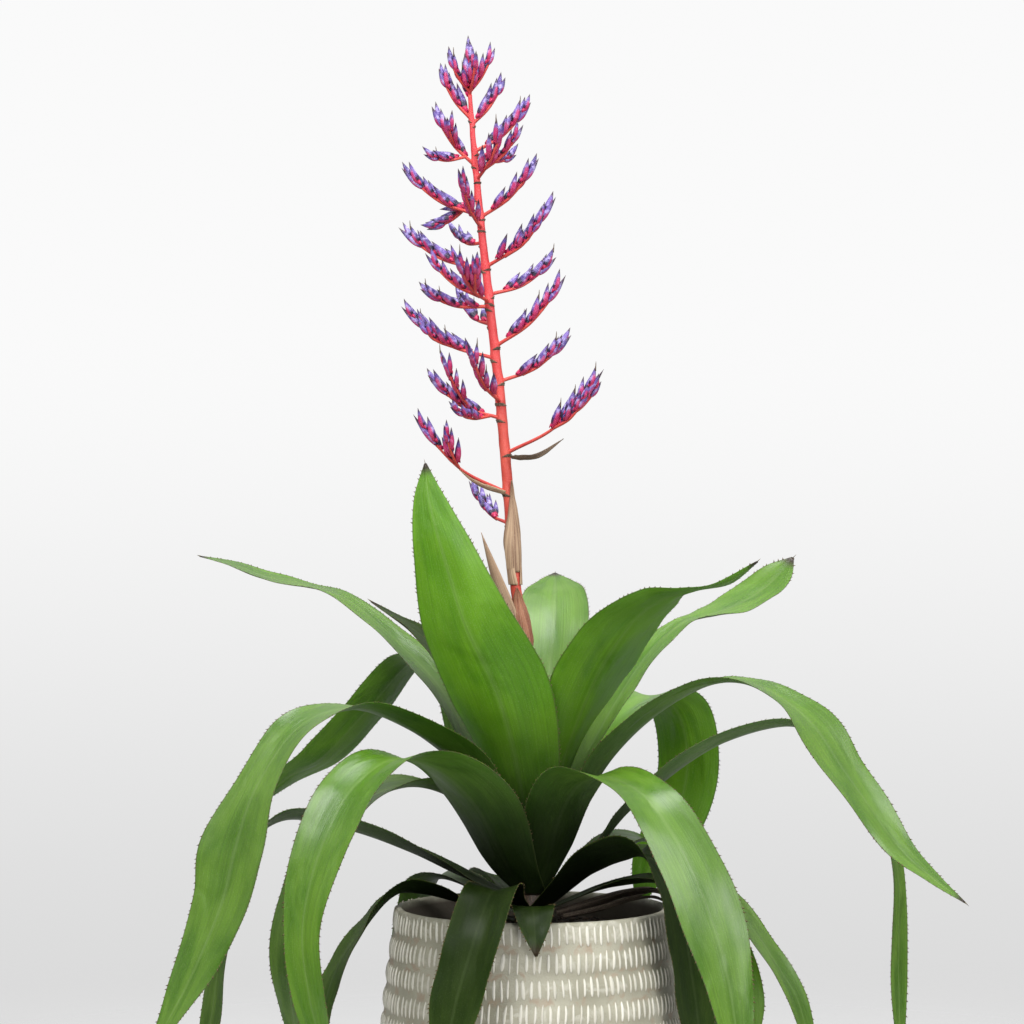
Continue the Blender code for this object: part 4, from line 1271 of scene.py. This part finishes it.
def add_branch(form, start, tip, bare, draw, lean, small=1.0):
    """One branch of flowers: a bare stalk, then buds in two ranks up to a pointed end."""
    span = (tip - start).length
    middle = (start + tip) / 2 - Vector((0, 0, span * SPIKE_SAG))
    path = curve_through([plant_point(start), plant_point(middle), plant_point(tip)], 1.0)
    ways = directions(path)
    last = len(path) - 1
    stop = int(last * 0.93)
    radii = [1.5 * small * (1.0 - 0.5 * i / last) for i in range(stop)]
    add_stalk(form, path[:stop], radii, 1, 0.62)
    outward = Vector((tip.x - start.x, tip.y - start.y, 0))
    if outward.length < 1.0:
        outward = Vector((0.3, -1.0, 0))
    outward.normalize()
    flank = Vector((0, 0, 1)).cross(outward)
    spacing = BUD_SPACING * small
    at = bare * last
    side = 1 if draw.random() < 0.5 else -1
    while at < last * 0.9:
        here = int(at)
        share = (at / last - bare) / (1.0 - bare)
        run = ways[here]
        rank = flank * side
        rank.rotate(Quaternion(run, lean * side))
        rank = (rank - run * rank.dot(run)).normalized()
        size = small * (1.0 - 0.28 * share) * draw.uniform(0.9, 1.1)
        open_out = 0.46 * (1.0 - 0.5 * share) + draw.uniform(-0.1, 0.1)
        way = (run * math.cos(open_out) + rank * math.sin(open_out)).normalized()
        way = (way + Vector((0, 0, 0.10))).normalized()
        foot = path[here] + rank * 0.9 * MM
        length = min(BUD_LENGTH * size, (last - at) * 0.9 + 9.0)
        tone = draw.random()
        add_bud(form, foot, way, run * 0.2 + Vector((0, 0, 1)), length, BUD_RADIUS * size, tone)
        scale_foot = foot - run * 1.6 * MM + rank * 0.9 * MM
        scale_way = (way * 0.8 + run * 0.4).normalized()
        add_scale(form, scale_foot, scale_way, rank, 8.0 * size, 5.6 * size, tone)
        if draw.random() < THREAD_SHARE:
            thread = foot + way * length * 0.8 * MM
            reach = [thread + Vector((0, 0, 1)) * i * 1.6 * MM + way * i * 0.3 * MM
                     for i in range(5)]
            add_stalk(form, reach, (0.55, 0.5, 0.42, 0.34, 0.12), 2, 0.0)
        at += spacing * (1.0 - 0.25 * share)
        side = -side
    add_bud(form, path[int(last * 0.72)], ways[-1], Vector((0, 0, 1)), span * 0.28 + 4.0,
            2.6 * small, draw.random(), 0.3)


def make_spike(number, name, start, tip, bare, branches):
    """One flower spike: its main branch and any side branches, as one piece."""
    draw = random.Random(300 + number)
    spike = Form()
    lean = draw.uniform(0.7, 1.15)
    add_branch(spike, start, tip, bare, draw, lean)
    for share, side_tip in branches:
        sag = (tip - start).length * SPIKE_SAG * math.sin(math.pi * share)
        foot = start.lerp(tip, share) - Vector((0, 0, sag))
        add_branch(spike, foot, Vector(side_tip), 0.18, draw, lean, 0.86)
    spike.piece(name + "_flowers", (flower_bud, stem_skin, dark_bract), "flower_violet", (name,))


def make_spikes():
    """All the spikes up the stem, and the one that ends it."""
    branches = {}
    for name, share, side_tip in SIDE_BRANCHES:
        branches.setdefault(name, []).append((share, side_tip))
    for number, (name, height, tip, bare) in enumerate(SPIKES):
        middle, radius = stem_at(height)
        heading = spike_heading(height, tip)
        outward = Vector((math.cos(heading), math.sin(heading), 0))
        start = middle + outward * (radius - 0.5)
        make_spike(number, name, start, Vector(tip), bare, branches.get(name, ()))
    name, tip = TIP_SPIKE
    start = Vector(STEM_LINE[-1][0]) - Vector((0, 0, 1.0))
    make_spike(len(SPIKES), name, start, Vector(tip), 0.05, branches[name])


# ---- studio -------------------------------------------------------------------------------

# Height of the sky's direction where each gradient starts and ends, and its two greys.
BACKDROP_FALL = (-0.17, 0.06, 0.70, 0.955)
SOFT_LIGHT_RISE = (-0.3, 0.8, 0.16, 0.85)
FLOOR_HALF_WIDTH = 7.0
FLOOR_FADE = (0.35, 1.3)
# Name, place and size in metres, and power in watts.
LAMPS = (
    ("key", (-1.0, -1.5, 1.9), 1.1, 42.0),
    ("fill", (1.5, -1.1, 1.6), 1.0, 24.0),
    ("front", (0.6, -2.7, 1.1), 0.7, 24.0),
    ("top", (0.1, -0.1, 2.4), 1.2, 34.0),
)
LAMP_TARGET = (0, 0, 0.4)
CAMERA_PLACE = (-0.016, -2.53, RIM + 0.309)
CAMERA_LENS = 113.5
CAMERA_SENSOR = 36.0


def sky_gradient(tree, height, ends):
    """A smooth grey gradient over the height of the direction looked in."""
    made = tree.nodes.new("ShaderNodeMapRange")
    made.interpolation_type = "SMOOTHSTEP"
    for socket, value in zip(made.inputs[1:5], ends):
        socket.default_value = value
    tree.links.new(height, made.inputs[0])
    return made.outputs[0]


def make_backdrop():
    """A pale backdrop for the camera, and a softer gradient that lights the plant."""
    world = bpy.data.worlds.new("studio")
    world.use_nodes = True
    tree = world.node_tree
    seen = tree.nodes["Background"]
    lit = tree.nodes.new("ShaderNodeBackground")
    lit.inputs["Strength"].default_value = 1.0
    where = tree.nodes.new("ShaderNodeTexCoord")
    split = tree.nodes.new("ShaderNodeSeparateXYZ")
    tree.links.new(where.outputs["Generated"], split.inputs[0])
    height = split.outputs[2]
    tree.links.new(sky_gradient(tree, height, BACKDROP_FALL), seen.inputs["Color"])
    tree.links.new(sky_gradient(tree, height, SOFT_LIGHT_RISE), lit.inputs["Color"])
    ray = tree.nodes.new("ShaderNodeLightPath")
    blend = tree.nodes.new("ShaderNodeMixShader")
    tree.links.new(ray.outputs["Is Camera Ray"], blend.inputs[0])
    tree.links.new(lit.outputs[0], blend.inputs[1])
    tree.links.new(seen.outputs[0], blend.inputs[2])
    tree.links.new(blend.outputs[0], tree.nodes["World Output"].inputs["Surface"])
    bpy.context.scene.world = world
    bpy.context.scene.view_settings.view_transform = "Standard"


def make_paper_finish():
    """Pale studio paper that fades into the backdrop away from the pot."""
    paper = Finish("studio_paper", 0.9)
    spot = paper.noise(paper.place(), 3.0)
    paper.colour(paper.mix(spot, (0.45, 0.45, 0.45), (0.49, 0.49, 0.49)))
    clear = paper.node("BsdfTransparent")
    distance = paper.node("VectorMath", operation="LENGTH")
    paper.feed(distance.inputs[0], paper.place())
    blend = paper.node("MixShader")
    paper.feed(blend.inputs[0], paper.range(distance.outputs["Value"], *FLOOR_FADE))
    paper.feed(blend.inputs[1], paper.shader.outputs[0])
    paper.feed(blend.inputs[2], clear.outputs[0])
    paper.feed(paper.tree.nodes["Material Output"].inputs["Surface"], blend.outputs[0])
    return paper.material


def make_floor():
    """The flat paper that the pot stands on."""
    reach = FLOOR_HALF_WIDTH
    corners = [(x * reach, y * reach, POT_FOOT) for x, y in ((-1, -1), (1, -1), (1, 1), (-1, 1))]
    mesh = bpy.data.meshes.new("floor")
    mesh.from_pydata(corners, [], [(0, 1, 2, 3)])
    mesh.materials.append(make_paper_finish())
    plate = bpy.data.objects.new("floor", mesh)
    bpy.context.scene.collection.objects.link(plate)


def make_lamps():
    """Four soft square lamps, all aimed at the rosette."""
    for name, place, size, power in LAMPS:
        lamp = bpy.data.lights.new(name, "AREA")
        lamp.energy = power
        lamp.size = size
        holder = bpy.data.objects.new(name, lamp)
        holder.location = place
        aim = Vector(LAMP_TARGET) - Vector(place)
        holder.rotation_euler = aim.to_track_quat("-Z", "Y").to_euler()
        bpy.context.scene.collection.objects.link(holder)


def make_camera():
    """A long lens a little above the plant's middle, looking level at its front."""
    lens = bpy.data.cameras.new("camera")
    lens.sensor_width = CAMERA_SENSOR
    lens.lens = CAMERA_LENS
    camera = bpy.data.objects.new("camera", lens)
    camera.location = CAMERA_PLACE
    camera.rotation_euler = (math.radians(90.0), 0.0, 0.0)
    bpy.context.scene.collection.objects.link(camera)
    bpy.context.scene.camera = camera


make_pot()
make_dashes()
make_soil()
make_stem()
make_joint_scales()
make_bracts()
make_leaves()
make_spikes()
make_backdrop()
make_floor()
make_lamps()
make_camera()
